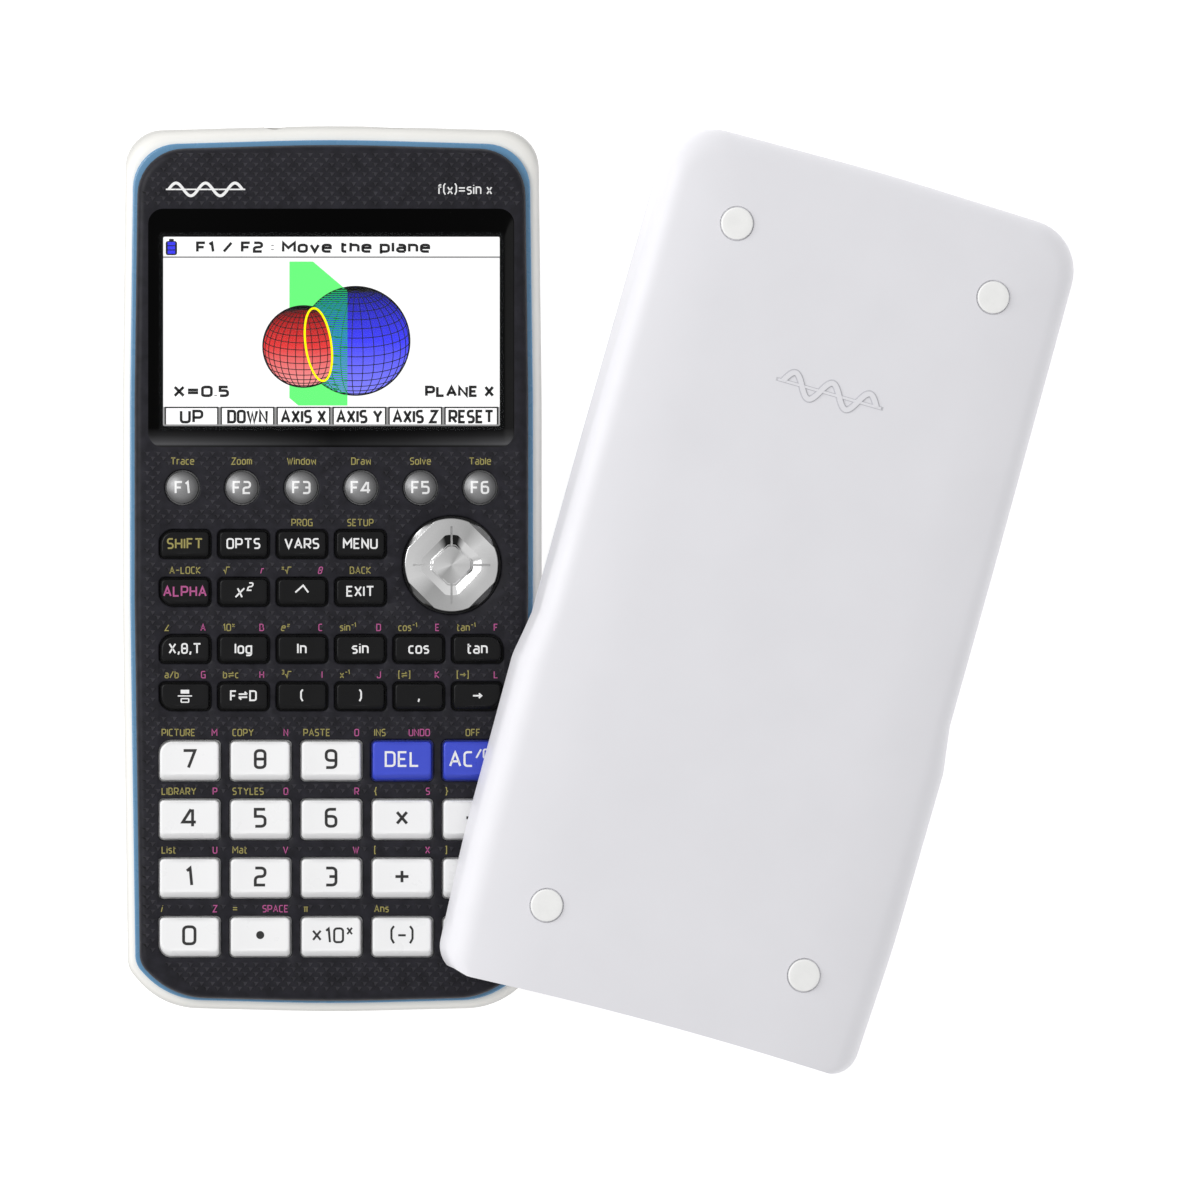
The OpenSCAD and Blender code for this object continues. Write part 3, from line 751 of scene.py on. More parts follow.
def make_rear_case():
    """White rear case: rounded back, shoulder, side grooves, screw seats, sockets and battery opening."""
    inner = body_outline(*CAVITY_INSET)
    shell = solid(rear_levels() + [(inner, REAR_Z), (inner, 1.5)], "rear_shell", [WHITE])
    tools = [block((-DOOR_HALF, DOOR_HALF), (-FAR, DOOR_END), (-1, 1.6)),
             block((-DOOR_HALF - RAIL, DOOR_HALF + RAIL), (-FAR, DOOR_END - 2), (0.4, 1.1)),
             turned(RESTART_HOLE, [(0.9, -0.5), (0.9, 1.6)], 24),
             end_tool(circle(2.8, LINK_JACK)), end_tool(rectangle(8.4, 4.6, 1, DATA_SOCKET))]
    for sign in (-1, 1):
        x0, x1 = sorted((sign * (BODY_W / 2 - GROOVE_DEEP), sign * BODY_W))
        tools.append(block((x0, x1), (-FAR, FAR), GROOVE_Z))
        for x, y in SCREWS:
            tools.append(turned((sign * x, y), [(2.5, -0.5), (2.5, 0), (2.25, 0.3), (2.2, 1.6)]))
    crisp(carve(shell, tools), 30)
    bay = block((-DOOR_HALF - RAIL, DOOR_HALF + RAIL), (-86, -34.8), (1.0, 12.5), materials=[WHITE])
    carve(bay, [block((-DOOR_HALF, DOOR_HALF), BAY_Y, (0, 12))])
    return place(join_pieces("rear_shell", shell, bay), BODY, "case_white", "rear_case")


def join_pieces(name, *pieces):
    """Joins mesh pieces into one, keeping their materials and creases."""
    bm = bmesh.new()
    materials = []
    for p in pieces:
        slots = []
        for m in p.data.materials:
            if m not in materials:
                materials.append(m)
            slots.append(materials.index(m))
        start = len(bm.faces)
        bm.from_mesh(p.data)
        bm.faces.ensure_lookup_table()
        for f in bm.faces[start:]:
            f.material_index = slots[f.material_index]
    for p in pieces:
        forget(p)
    return finish_mesh(name, bm, materials, recalc=False)


def make_battery_door():
    """Sliding battery door, cut from the same rounded form as the back, with finger ridges and an arrow."""
    door = solid(rear_levels(), "battery_door", [WHITE])
    gap = 0.2
    form = block((-DOOR_HALF + gap, DOOR_HALF - gap), (-FAR, DOOR_END - gap), (-1, 1.45))
    carve(door, [form], "INTERSECT")
    tongues = block((-DOOR_HALF - 1.0, DOOR_HALF + 1.0), (-86, DOOR_END - 2.2), (0.5, 1.0))
    carve(door, [tongues], "UNION")
    tools = [block((-9, 9), (-48 + 1.6 * i, -47.2 + 1.6 * i), (-1, 0.35)) for i in range(6)]
    arrow = [(-3, -50.6), (3, -50.6), (0, -53.6)]
    tools.append(solid([(arrow, -1), (arrow, 0.3)]))
    crisp(carve(door, tools), 30)
    return place(door, "battery_cover", "case_white", "battery_cover")


def make_trim():
    """Blue band between the rear case and the face plate, with a rounded upper edge."""
    side, top, end = RIM_INSET
    inner = body_outline(side + 1.9, top + 1.95, end + 1.65)
    outer = body_outline(side, top, end, 9.5)
    levels = [(inner, REAR_Z), (outer, REAR_Z), (outer, TRIM_Z - 0.35)]
    for inset, drop in reversed(quarter(0.35, 4)):
        levels.append((body_outline(side + inset, top + inset, end + inset, 9.5), TRIM_Z - drop))
    bm = bmesh.new()
    skin(bm, levels + [(inner, TRIM_Z)], loop=True)
    return place(crisp(finish_mesh("trim_ring", bm, [BLUE_BAND]), 40), BODY, "trim_blue", "trim_band")


def key_outline(node, grow=0.0, front=0.0):
    """A key's outline grown on all sides; front pulls its lower edge in."""
    at = middle_mm(node)
    if node in ROUND_KEYS:
        return circle(3.4 + grow, (at.x, at.y))
    w, h = key_size(node)
    left, right = at.x - w / 2 - grow, at.x + w / 2 + grow
    radii = [(2.6 if node in large else 0.9) + 0.6 * grow for large in LARGE_CORNER]
    return span(left, right, at.y - h / 2 - grow + front, at.y + h / 2 + grow, radii)


def with_sides(outline, corners=4, extra=7):
    """The same outline with extra points spread along each straight side."""
    n = len(outline) // corners
    points = []
    for i in range(corners):
        group, after = outline[i * n:(i + 1) * n], outline[((i + 1) * n) % len(outline)]
        points += group + [group[-1].lerp(after, k / (extra + 1)) for k in range(1, extra + 1)]
    return points


def make_face():
    """Black face plate: rounded edge, sunk wells round keys and pad, polished bevel at the display."""
    bm = bmesh.new()
    side, top, end = FACE_INSET
    inner = body_outline(side + 1.4, top + 1.4, end + 1.4)
    levels = [(inner, PLATE_Z), (inner, TRIM_Z), (body_outline(side, top, end, 10), TRIM_Z)]
    for inset, drop in reversed(quarter(1.6, 8)):
        outline = body_outline(side + inset, top + inset, end + inset, 10 - 0.6 * inset)
        levels.append((outline, FACE_Z - drop))
    outer = skin(bm, levels)
    well = [(0.62, FACE_Z), (0.44, FACE_Z - 0.1), (0.32, FACE_Z - 0.35), (0.3, PLATE_Z)]
    pad_well = [(10.95, FACE_Z), (10.6, FACE_Z - 0.15), (10.4, FACE_Z - 0.45), (10.4, 16.6), (11.7, 16.6),
                (11.7, PLATE_Z)]
    wells = [skin(bm, [(key_outline(node, grow), z) for grow, z in well]) for node in ALL_KEYS]
    wells.append(skin(bm, [(circle(r, (PAD.x, PAD.y), 96), z) for r, z in pad_well]))
    wells.append(skin(bm, bevel_levels(), 1))
    fill_between(bm, [outer[-1]] + [rings[0] for rings in wells])
    fill_between(bm, [outer[0]] + [rings[-1] for rings in wells])
    return place(crisp(finish_mesh("face_plate", bm, [BLACK, GLOSS]), 26), BODY, "face_black", "front_case")


def bevel_levels():
    """Slope from the face down to the window, with soft outer corners, then the seat of the window."""
    (w, h), (v, u) = BEVEL, WINDOW
    slope = [(w + 0.5, h + 0.5, 3.2, FACE_Z), (w, h, 3.0, FACE_Z - 0.05),
             (w - 0.5, h - 0.6, 2.8, FACE_Z - 0.2)]
    seat = [(v + 0.6, u + 0.8, 1.2, WINDOW_Z + 0.1), (v, u, 0.6, WINDOW_Z + 0.05),
            (v, u, 0.6, WINDOW_Z + 0.02), (76, 44.8, 0.8, WINDOW_Z + 0.02), (76, 44.8, 0.8, PLATE_Z)]
    levels = [(rectangle(*shape, (0, BEVEL_Y), 10), z) for *shape, z in slope]
    return levels + [(rectangle(*shape, (0, WINDOW_Y), 10), z) for *shape, z in seat]


def inside_face(x, y, margin):
    """True where a point lies inside the face's outline by the margin."""
    side, top, end = FACE_INSET
    hw, ht, hb = BODY_W / 2 - side - margin, BODY_L / 2 - top - margin, BODY_L / 2 - end - margin
    if abs(x) > hw or y > ht or y < -hb:
        return False
    if y > ht - 9 and abs(x) > hw - 9:
        return math.hypot(abs(x) - hw + 9, y - ht + 9) < 8.6
    return abs(x) < hw - max(0.0, -y - hb + 10)


def make_relief():
    """Raised triangular scales all over the face plate, clear of keys, pad, display and edge."""
    bm = bmesh.new()
    holes = [(0, BEVEL_Y, BEVEL[0] / 2 + 1.3, BEVEL[1] / 2 + 1.2)]
    for node in ALL_KEYS:
        at, s = middle_mm(node), size_mm(node)
        holes.append((at.x, at.y, s.x / 2 + 0.75, s.y / 2 + 0.7))
    pitch_x, pitch_y = 2.3, 1.02
    for j in range(int(BODY_L / pitch_y)):
        y = -BODY_L / 2 + j * pitch_y
        for i in range(-20, 21):
            x = (i + 0.5 * (j % 2)) * pitch_x
            if not inside_face(x, y, 1.9) or math.hypot(x - PAD.x, y - PAD.y) < 12:
                continue
            if any(abs(x - hx) < hw and abs(y - hy) < hh for hx, hy, hw, hh in holes):
                continue
            add_scale(bm, x, y)
    return place(finish_mesh("face_relief", bm, [SCALE_PAINTED_LIT, SCALE_PAINTED_SHADE]), BODY, "face_black")


def add_scale(bm, x, y, rise=0.08):
    """One scale: it rises slowly from its upper left and drops steeply at its lower right."""
    tip = [(-0.20, 0.36), (0.66, 0.32), (0.12, -0.42)]
    foot = [(-1.0, 0.52), (0.84, 0.42), (0.14, -0.60)]
    low = [bm.verts.new(((x + dx) * MM, (y + dy) * MM, (FACE_Z - 0.02) * MM)) for dx, dy in foot]
    heights = (0.35 * rise, rise, rise)
    high = []
    for (dx, dy), up in zip(tip, heights):
        high.append(bm.verts.new(((x + dx) * MM, (y + dy) * MM, (FACE_Z + up) * MM)))
    cap(bm, low[::-1])
    cap(bm, high)
    for k in range(3):
        side = bm.faces.new((low[k], low[(k + 1) % 3], high[(k + 1) % 3], high[k]))
        # Painted shade: the two steep lower sides take the dark copy; the top and the upper side take the lit
        # copy.
        side.material_index = int(k > 0)


# ---- legends printed on the face
CENTRED = labels("""f1 Trace f2 Zoom f3 Window f4 Draw f5 Solve f6 Table variables PROG menu SETUP
alpha A-LOCK exit BACK clear OFF""")
LEFT = labels("""square % power |x|% unknown ! log 10|x| ln e|x| sin sin|-1| cos cos|-1| tan tan|-1|
fraction a/b convert b@c open_bracket |3|% close_bracket x|-1| comma [@] arrow [>] seven PICTURE eight COPY
nine PASTE delete INS four LIBRARY five STYLES multiply { divide } one List two Mat plus [ minus ]
zero i point = exponent # negate Ans""")
RIGHT = labels("""square r power & unknown A log B ln C sin D cos E tan F fraction G convert H open_bracket I
close_bracket J comma K arrow L seven M eight N nine O delete UNDO four P five Q six R multiply S divide T
one U two V three W plus X minus Y zero Z point SPACE""")
SLANTED = ("r", "&", "i", "e|x|")
LEGEND_Z = FACE_Z - 0.01
LEGEND_T = 0.11


def make_legends():
    """Small signs above the keys, a plain curve sign at the top left and a formula at the top right."""
    bm = bmesh.new()
    for node in ALL_KEYS:
        at, size = middle_mm(node), size_mm(node)
        y = at.y + size.y / 2 - FLANGE_OUT + (2.0 if node in ROUND_KEYS else 1.85)
        edge = size.x / 2 - FLANGE_OUT - (0.5 if node in WHITE_KEYS + BLUE_KEYS else 0.9)
        for signs, x, align, colour in ((CENTRED, at.x, 0.5, YELLOW_INK), (LEFT, at.x - edge, 0, YELLOW_INK),
                                        (RIGHT, at.x + edge, 1, PINK_INK)):
            if node in signs:
                text = signs[node]
                slant = 0.25 if text in SLANTED else 0
                write(bm, text, x, y, 1.35, LEGEND_Z, 0.21, LEGEND_T, align, colour, slant)
    top_y = BODY_L / 2 - 13.9
    write(bm, "f(x)=sin x", 28.3, top_y, 1.9, LEGEND_Z, 0.28, LEGEND_T, 0.5, WHITE_INK)
    curve_sign(bm, (-26.6, top_y), 15.6, 2.7, 0.6, LEGEND_Z, LEGEND_T, WHITE_INK)
    return place(finish_mesh("face_legends", bm, INKS), BODY, "face_black")


def level_line(x0, x1, y):
    return [Vector((x0, y)), Vector((x1, y))]


def curve_sign(bm, at, w, h, pen, z, thick, material=0):
    """Generic sign: a wavy curve crossing a long level axis."""
    x, y = at
    wave = [Vector((x - w / 2 + w * i / 90, y + h / 2 * math.sin(5 * math.pi * i / 90))) for i in range(91)]
    ribbon(bm, wave, False, pen, z, thick, material)
    axis = level_line(x - w / 2 - pen, x + w / 2 + pen, y)
    ribbon(bm, axis, False, 0.5 * pen, z, 0.8 * thick, material)


# ---- display
def make_window():
    """Clear pane with rounded rims, and a black border printed on its underside."""
    def frame_of(w, h, r, z):
        return rectangle(w, h, r, (0, WINDOW_Y)), WINDOW_Z + z

    w, h = PANE
    pane = solid([frame_of(w - 0.3, h - 0.3, 0.7, -0.8), frame_of(w, h, 0.8, -0.65),
                  frame_of(w, h, 0.8, -0.15), frame_of(w - 0.3, h - 0.3, 0.7, 0)], "window_pane", [CLEAR])
    place(crisp(pane, 30), BODY, "window", "display_window")
    bm = bmesh.new()
    skin(bm, [frame_of(w - 0.4, h - 0.4, 0.7, -0.83), frame_of(*SCREEN, 0.3, -0.83),
              frame_of(*SCREEN, 0.3, -0.81), frame_of(w - 0.4, h - 0.4, 0.7, -0.81)], loop=True)
    # The printed border takes the bezel's material, painted light included.
    return place(finish_mesh("window_border", bm, [GLOSS]), BODY, "window")


BLUE_BALL = ((5.1, 48.2), 11.5)
RED_BALL = ((-5.9, 47.0), 8.6)
PAPER, DARK, GREY, RED, BLUE, GREEN, YELLOW, CELL, HATCH = range(9)


def picture_inks():
    """The nine inks of the picture, in the order of their numbers."""
    reds = [(0.0, (0.85, 0.30, 0.30)), (0.5, (0.72, 0.04, 0.04)), (1.0, (0.18, 0.0, 0.0))]
    blues = [(0.0, (0.22, 0.22, 0.90)), (0.5, (0.05, 0.05, 0.88)), (1.0, (0.01, 0.01, 0.18))]
    return [light_ink("lcd_white", (1.0, 1.0, 1.0), 0.75, body=0.4),
            light_ink("lcd_black", (0.02, 0.02, 0.02), 0.2),
            light_ink("lcd_grey", (0.30, 0.30, 0.30), 0.9, body=0.2),
            ball_ink("lcd_red", reds, 38.4, 55.6), ball_ink("lcd_blue", blues, 36.6, 59.8),
            light_ink("lcd_green", (0.15, 0.96, 0.21), 1.0, body=0.1),
            light_ink("lcd_yellow", (1.0, 0.95, 0.0), 1.0, body=0.2),
            light_ink("lcd_cell", (0.05, 0.05, 0.9), 1.0, body=0.1),
            light_ink("lcd_hatch", (0.01, 0.50, 0.13), 0.9, body=0.1, alpha=0.85)]


def section_point(t):
    """Point of the tilted loop where the plane cuts the red ball."""
    return Vector((-2.75 + 2.75 * math.cos(t) - 0.95 * math.sin(t), 47.4 + 7.7 * math.sin(t)))


def section_side(p):
    """Moves a point that lies past the right side of the loop onto it."""
    rise = max(-1.0, min(1.0, (p.y - 47.4) / 7.7))
    edge = section_point(math.asin(rise)).x
    return Vector((min(p.x, edge), p.y))


def ball(bm, at, r, z, material, turn, tip, limit=None):
    """Disc with the front half of a globe's grid drawn on it; a limit cuts one side off."""
    rim = circle(r, at, 120)
    if limit:
        rim = [limit(p) for p in rim]
    slab(bm, rim, z, 0.01, material)
    ribbon(bm, rim, True, 0.3, z + 0.012, 0.006, DARK)
    turned = Matrix.Rotation(tip, 3, "X") @ Matrix.Rotation(turn, 3, "Y")
    lines = [[(lat, lon) for lon in range(0, 361, 6)] for lat in range(-80, 90, 10)]
    lines += [[(lat, lon) for lat in range(-90, 91, 6)] for lon in range(0, 360, 12)]
    for line in lines:
        run = []
        for lat, lon in line:
            p = turned @ globe_point(lat, lon)
            q = Vector((at[0] + r * p.x, at[1] + r * p.y))
            if p.z > 0.02 and (limit is None or limit(q) == q):
                run.append(q)
            else:
                draw_run(bm, run, z + 0.012)
                run = []
        draw_run(bm, run, z + 0.012)


def globe_point(lat, lon):
    a, b = math.radians(lat), math.radians(lon)
    return Vector((math.cos(a) * math.sin(b), math.sin(a), math.cos(a) * math.cos(b)))


def draw_run(bm, run, z):
    run = [p for i, p in enumerate(run) if i == 0 or (p - run[i - 1]).length > 0.02]
    if len(run) > 1:
        ribbon(bm, run, False, 0.17, z, 0.006, DARK)


def patch(bm, x0, x1, y0, y1, r, z, thick, ink_number):
    """Flat patch of one ink with rounded corners."""
    slab(bm, span(x0, x1, y0, y1, [r] * 4), z, thick, ink_number)


def make_picture():
    """Lit picture on the display: two cut balls, a plane between them, a cell sign and six soft keys."""
    bm = bmesh.new()
    z = SCREEN_Z + 0.005
    slab(bm, rectangle(*SCREEN, 0.2, (0, WINDOW_Y)), z, 0.01, PAPER)
    z += 0.014
    half, high, low = SCREEN[0] / 2, WINDOW_Y + SCREEN[1] / 2, WINDOW_Y - SCREEN[1] / 2
    write(bm, "F1 / F2 : Move the plane", -28.4, high - 2.2, 1.85, z, 0.56, 0.01, 0, DARK, stretch=1.75)
    patch(bm, -half, half, high - 4.5, high - 4.15, 0.05, z, 0.01, GREY)
    patch(bm, -35.1, -32.7, high - 3.9, high - 0.9, 0.5, z, 0.006, DARK)
    patch(bm, -34.4, -33.4, high - 0.95, high - 0.45, 0.1, z, 0.006, DARK)
    for i in range(3):
        patch(bm, -34.7, -33.1, high - 3.6 + 0.9 * i, high - 2.9 + 0.9 * i, 0.1, z + 0.008, 0.004, CELL)
    plane = [(-8.9, 65.0), (-3.9, 65.0), (3.4, 58.8), (3.4, 34.5), (-7.0, 34.5), (-8.9, 36.1)]
    slab(bm, plane, z, 0.006, GREEN)
    ball(bm, *BLUE_BALL, z + 0.008, BLUE, 0.35, 0.30)
    (x, mid), r = BLUE_BALL
    for i in range(52):
        y = 36.9 + 0.44 * i
        left = x - math.sqrt(r ** 2 - (y - mid) ** 2)
        right = min(3.4, 3.4 - (y - 58.8) * 1.18)
        if left < right:
            ribbon(bm, level_line(left, right, y), False, 0.24, z + 0.027, 0.003, HATCH)
    ball(bm, *RED_BALL, z + 0.032, RED, -0.20, 0.26, limit=section_side)
    loop = [section_point(-math.tau * i / 60) for i in range(60)]
    ribbon(bm, loop, True, 0.45, z + 0.056, 0.006, YELLOW)
    write(bm, "X=0.5", -33.2, 37.5, 1.85, z, 0.58, 0.01, 0, DARK, stretch=1.75)
    write(bm, "PLANE X", 34.2, 37.5, 1.85, z, 0.58, 0.01, 1, DARK, stretch=1.45)
    patch(bm, -35.6, 35.6, low, low + 4.05, 0.05, z, 0.006, GREY)
    for i, name in enumerate(["UP", "DOWN", "AXIS X", "AXIS Y", "AXIS Z", "RESET"]):
        x = (i - 2.5) * 11.85
        patch(bm, x - 5.7, x + 5.7, low + 0.35, low + 4.1, 0.1, z + 0.008, 0.004, DARK)
        patch(bm, x - 5.4, x + 5.4, low + 0.35, low + 3.8, 0.1, z + 0.014, 0.004, PAPER)
        wide = 1.0 if len(name) > 3 else 1.3
        write(bm, name, x, low + 2.0, 2.35, z + 0.02, 0.56, 0.006, 0.5, DARK, stretch=wide)
    return place(finish_mesh("screen_picture", bm, picture_inks()), BODY, "panel")


# ---- keys
FACES = labels("""f1 F1 f2 F2 f3 F3 f4 F4 f5 F5 f6 F6 shift SHIFT option OPTS variables VARS menu MENU
alpha ALPHA square x|2| power ^ exit EXIT unknown X,&,T log log ln ln sin sin cos cos tan tan convert F@D
open_bracket ( close_bracket ) comma , arrow > delete DEL clear AC|/ON| seven 7 eight 8 nine 9 four 4
five 5 six 6 one 1 two 2 three 3 zero 0 multiply * divide ~ plus + minus - exponent *10|x| negate (-)
enter ENT""")
FACE_INK = {"shift_key": YELLOW_INK, "alpha_key": PINK_INK}


def write_face(bm, node, height):
    """The sign on a key's top, following its curve."""
    at = middle_mm(node)
    z = lambda x, y: height(x, y) - 0.02
    colour = FACE_INK.get(node, BLACK_INK if node in WHITE_KEYS else WHITE_INK) + 1
    text = FACES.get(node, "")
    if node in ROUND_KEYS:
        write(bm, text, at.x, at.y, 2.35, z, 0.44, 0.06, 0.5, colour, stretch=1.15)
    elif node == "fraction_key":
        box = [Vector(p) for p in rectangle(1.6, 0.75, 0.1, (at.x, at.y - 0.85), 1)]
        ribbon(bm, box, True, 0.25, z, 0.05, colour)
        for half, up, pen in ((1.5, 0.1, 0.25), (0.9, 1.0, 0.8)):
            ribbon(bm, level_line(at.x - half, at.x + half, at.y + up), False, pen, z, 0.05, colour)
    elif node == "point_key":
        slab(bm, circle(0.85, (at.x, at.y + 0.4), 32), height(at.x, at.y) - 0.02, 0.06, colour)
    elif node in DARK_KEYS:
        tall = {"square_key": 2.5, "power_key": 3.0}.get(node, 1.95)
        slant = 0.25 if node == "square_key" else 0
        write(bm, text, at.x, at.y + 0.15, tall, z, 0.34, 0.05, 0.5, colour, slant, 1.1)
    elif len(text) == 1:
        write(bm, text, at.x, at.y + 0.35, 3.6, z, 0.6, 0.05, 0.5, colour, stretch=1.15)
    else:
        write(bm, text, at.x, at.y + 0.35, 2.9, z, 0.44, 0.05, 0.5, colour, stretch=1.1)


def make_square_key(node):
    """Key cap with its hidden flange, moulded edges, a lower front facet and a dished top."""
    dark = node in DARK_KEYS
    at, (w, h), top = middle_mm(node), key_size(node), top_mm(node)
    front, dish = (0.5, 0.12) if dark else (0.95, 0.22)

    def height(x, y):
        return top - dish * (1 - min(1.0, ((x - at.x) / (w / 2)) ** 2))

    shape = [(FLANGE_OUT, 0, FLANGE_Z), (FLANGE_OUT, 0, FLANGE_TOP), (0, 0, FLANGE_TOP),
             (0, 0, top - front - 0.3), (-0.04, 0.1, top - front - 0.05),
             (-0.12, 0.72 * front, top - 0.34), (-0.2, 0.86 * front, top - 0.16),
             (-0.34, 0.93 * front, top - 0.04), (-0.52, front, height)]
    levels = [(with_sides(key_outline(node, grow, pull)), z) for grow, pull, z in shape]
    middle = Vector((at.x, at.y + front / 2))
    for k in (0.85, 0.7, 0.55, 0.4, 0.25, 0.1):
        levels.append(([middle.lerp(p, k) for p in levels[8][0]], height))
    bm = bmesh.new()
    closed_skin(bm, levels)
    write_face(bm, node, height)
    slot, material = ("key_black", KEY_BLACK) if dark else ("key_white", KEY_WHITE)
    if node in BLUE_KEYS:
        slot, material = "key_blue", KEY_BLUE
    piece = finish_mesh(node.replace("_key", "_cap"), bm, [material] + INKS)
    return place(crisp(piece, 48), node, slot, node)


def make_round_key(node):
    """Domed round key with its hidden flange."""
    at, top = middle_mm(node), top_mm(node)
    crown, r = 7.0, 3.4

    def height(x, y):
        return top - crown + math.sqrt(crown ** 2 - min(r, math.hypot(x - at.x, y - at.y)) ** 2)

    edge = height(at.x + r, at.y)
    shape = [(4.2, FLANGE_Z), (4.2, FLANGE_TOP), (r, FLANGE_TOP), (r, edge - 0.3), (r - 0.05, edge - 0.1)]
    shape += [((r - 0.18) * (1 - i / 8) + 0.1, height) for i in range(8)]
    bm = bmesh.new()
    closed_skin(bm, [(circle(k, (at.x, at.y)), z) for k, z in shape])
    write_face(bm, node, height)
    piece = finish_mesh(node.replace("_key", "_cap"), bm, [KEY_SILVER] + INKS)
    return place(crisp(piece, 48), node, "key_silver", node)


def cut_disc(r, chord, steps=192):
    """Outline of a disc with four flats across its diagonals."""
    points = []
    for i in range(steps):
        t = -math.tau * i / steps
        off = (t % (math.pi / 2)) - math.pi / 4
        reach = min(r, chord / math.cos(off))
        points.append(Vector((PAD.x + reach * math.cos(t), PAD.y + reach * math.sin(t))))
    return points


def make_pad():
    """Cursor pad: disc with four slanting flats, a sunk ring with sloped sides, slots and a centre cone."""
    t = PAD_TOP
    levels = [(11.2, 99, 14.9), (11.2, 99, 15.5), (10.05, 99, 15.5), (10.05, 99, t - 0.75),
              (9.97, 9.75, t - 0.6), (9.85, 9.08, t - 0.07), (9.72, 8.96, t), (8.2, 7.4, t),
              (6.4, 5.39, t - 0.01), (6.25, 5.24, t - 0.05), (4.35, 3.62, t - 0.85),
              (4.18, 3.48, t - 0.85), (4.1, 3.4, t - 0.3), (3.95, 3.28, t - 0.22), (2.0, 1.7, t - 0.3),
              (0.25, 0.24, t - 0.38)]
    bm = bmesh.new()
    rings = [ring(bm, cut_disc(r, chord), z) for r, chord, z in levels]
    loft(bm, rings[:4], 1)
    loft(bm, rings[3:])
    cap(bm, rings[0][::-1], 1)
    cap(bm, rings[-1])
    piece = finish_mesh("pad_disc", bm, [PAD_METAL, PAD_DARK, PAD_FLAT, PAD_SLOPE])
    slots = []
    for k in range(4):
        turn = Matrix.Translation((PAD.x * MM, PAD.y * MM, 0)) @ Matrix.Rotation(k * math.pi / 2, 4, "Z")
        slots.append(move(block((-0.22, 0.22), (3.9, 8.2), (t - 1.0, t + 1)), turn))
    crisp(carve(piece, slots), 22)
    # Tilted faces take their own painted-light sectors: the outer flats PAD_FLAT, the sunk ring's slopes
    # PAD_SLOPE.
    for p in piece.data.polygons:
        r = math.hypot(p.center.x / MM - PAD.x, p.center.y / MM - PAD.y)
        if p.material_index == 0 and p.normal.z < 0.985:
            p.material_index = 2 if r > 8.6 else 3 if r > 3.4 else 0
    return place(piece, "cursor_pad", "pad_metal", "cursor_pad")


# ---- slide cover
COVER_W, COVER_L, COVER_H, COVER_T = 92.8, 187.3, 12.5, 1.6
COVER_EDGE = 7.0
COVER_SWELL = 1.7
CROWN = 1.1
CROWN_REACH = 14.0
EDGE_TURN = math.radians(80)
COVER_JOINT = next(j for j in frame["joints"] if j["child"] == "slide_cover")
COVER_YAW = math.atan2(COVER_JOINT["axis"][0], COVER_JOINT["axis"][1])
COVER_LEAN = math.radians(12.1)
FOOT_AT = (28.9, COVER_L / 2 - 19.1)


def cover_place():
    """From the cover's own frame, rim on z = 0 and closed end at +Y, to where it leans."""
    feet = middle_mm("cover_feet")
    turn = Matrix.Rotation(-COVER_YAW, 4, "Z") @ Matrix.Rotation(COVER_LEAN, 4, "Y")
    up = turn @ Vector((0, 0, COVER_H))
    lift = COVER_W / 2 * math.sin(COVER_LEAN) + 0.02
    return Matrix.Translation(Vector((feet.x - up.x, feet.y - up.y, lift)) * MM) @ turn


def cover_outline(inset, past_end=0.0, swell=0.0):
    """The cover's outline; swell widens the lower half of its sides."""
    hw, hl = COVER_W / 2 - inset, COVER_L / 2
    low_corner = 3 if past_end else max(2.0, 5 - 0.6 * inset) + 0.8 * swell
    right = [(0, hl - inset, 500), (hw - 0.4, hl - inset - 0.9, max(4.5, 11 - 0.6 * inset)), (hw, 20, 400),
             (hw - 0.05, -15.5, 10), (hw + swell, -25.5, 12), (hw - 0.3 + swell, 30 - hl, 300),
             (hw - 1.6 + 0.8 * swell, -hl - past_end, low_corner), (0, -hl - past_end - 0.4, 500)]
    return rounded(mirrored(right), 12)


def cover_levels():
    """Outlines up the cover's outside: swollen rim, rounded edge, and a faint crown that fades inward."""
    def swollen(inset, z):
        return cover_outline(inset, 0, COVER_SWELL * (1 - (z / COVER_H) ** 3)), z

    levels = [(cover_outline(0), 0.0), (cover_outline(0), 0.36)]
    levels += [swollen(0.15, 0.4), swollen(0.03, 0.6)] + [swollen(0, 0.9 + i) for i in range(6)]
    for i in range(12):
        t = EDGE_TURN * i / 11
        drop = CROWN + 4.7 * (math.sin(EDGE_TURN) - math.sin(t))
        levels.append(swollen(5.5 * (1 - math.cos(t)), COVER_H - drop))
    for i in range(1, 9):
        levels.append(swollen(4.55 + CROWN_REACH * i / 8, COVER_H - CROWN * (1 - i / 8) ** 2))
    return levels


def hollow_levels():
    """Outlines up the cover's hollow, run out past its open end."""
    r, top = COVER_EDGE - COVER_T, COVER_H - COVER_T
    levels = [(cover_outline(COVER_T, 12), -1)]
    for i in range(13):
        t = math.pi / 2 * i / 12
        inset = COVER_T + r * (1 - math.cos(t))
        levels.append((cover_outline(inset, 12), top - 0.8 * r * (1 - math.sin(t))))
    return levels


def foot_places():
    return [(x * FOOT_AT[0], y * FOOT_AT[1]) for x in (-1, 1) for y in (-1, 1)]


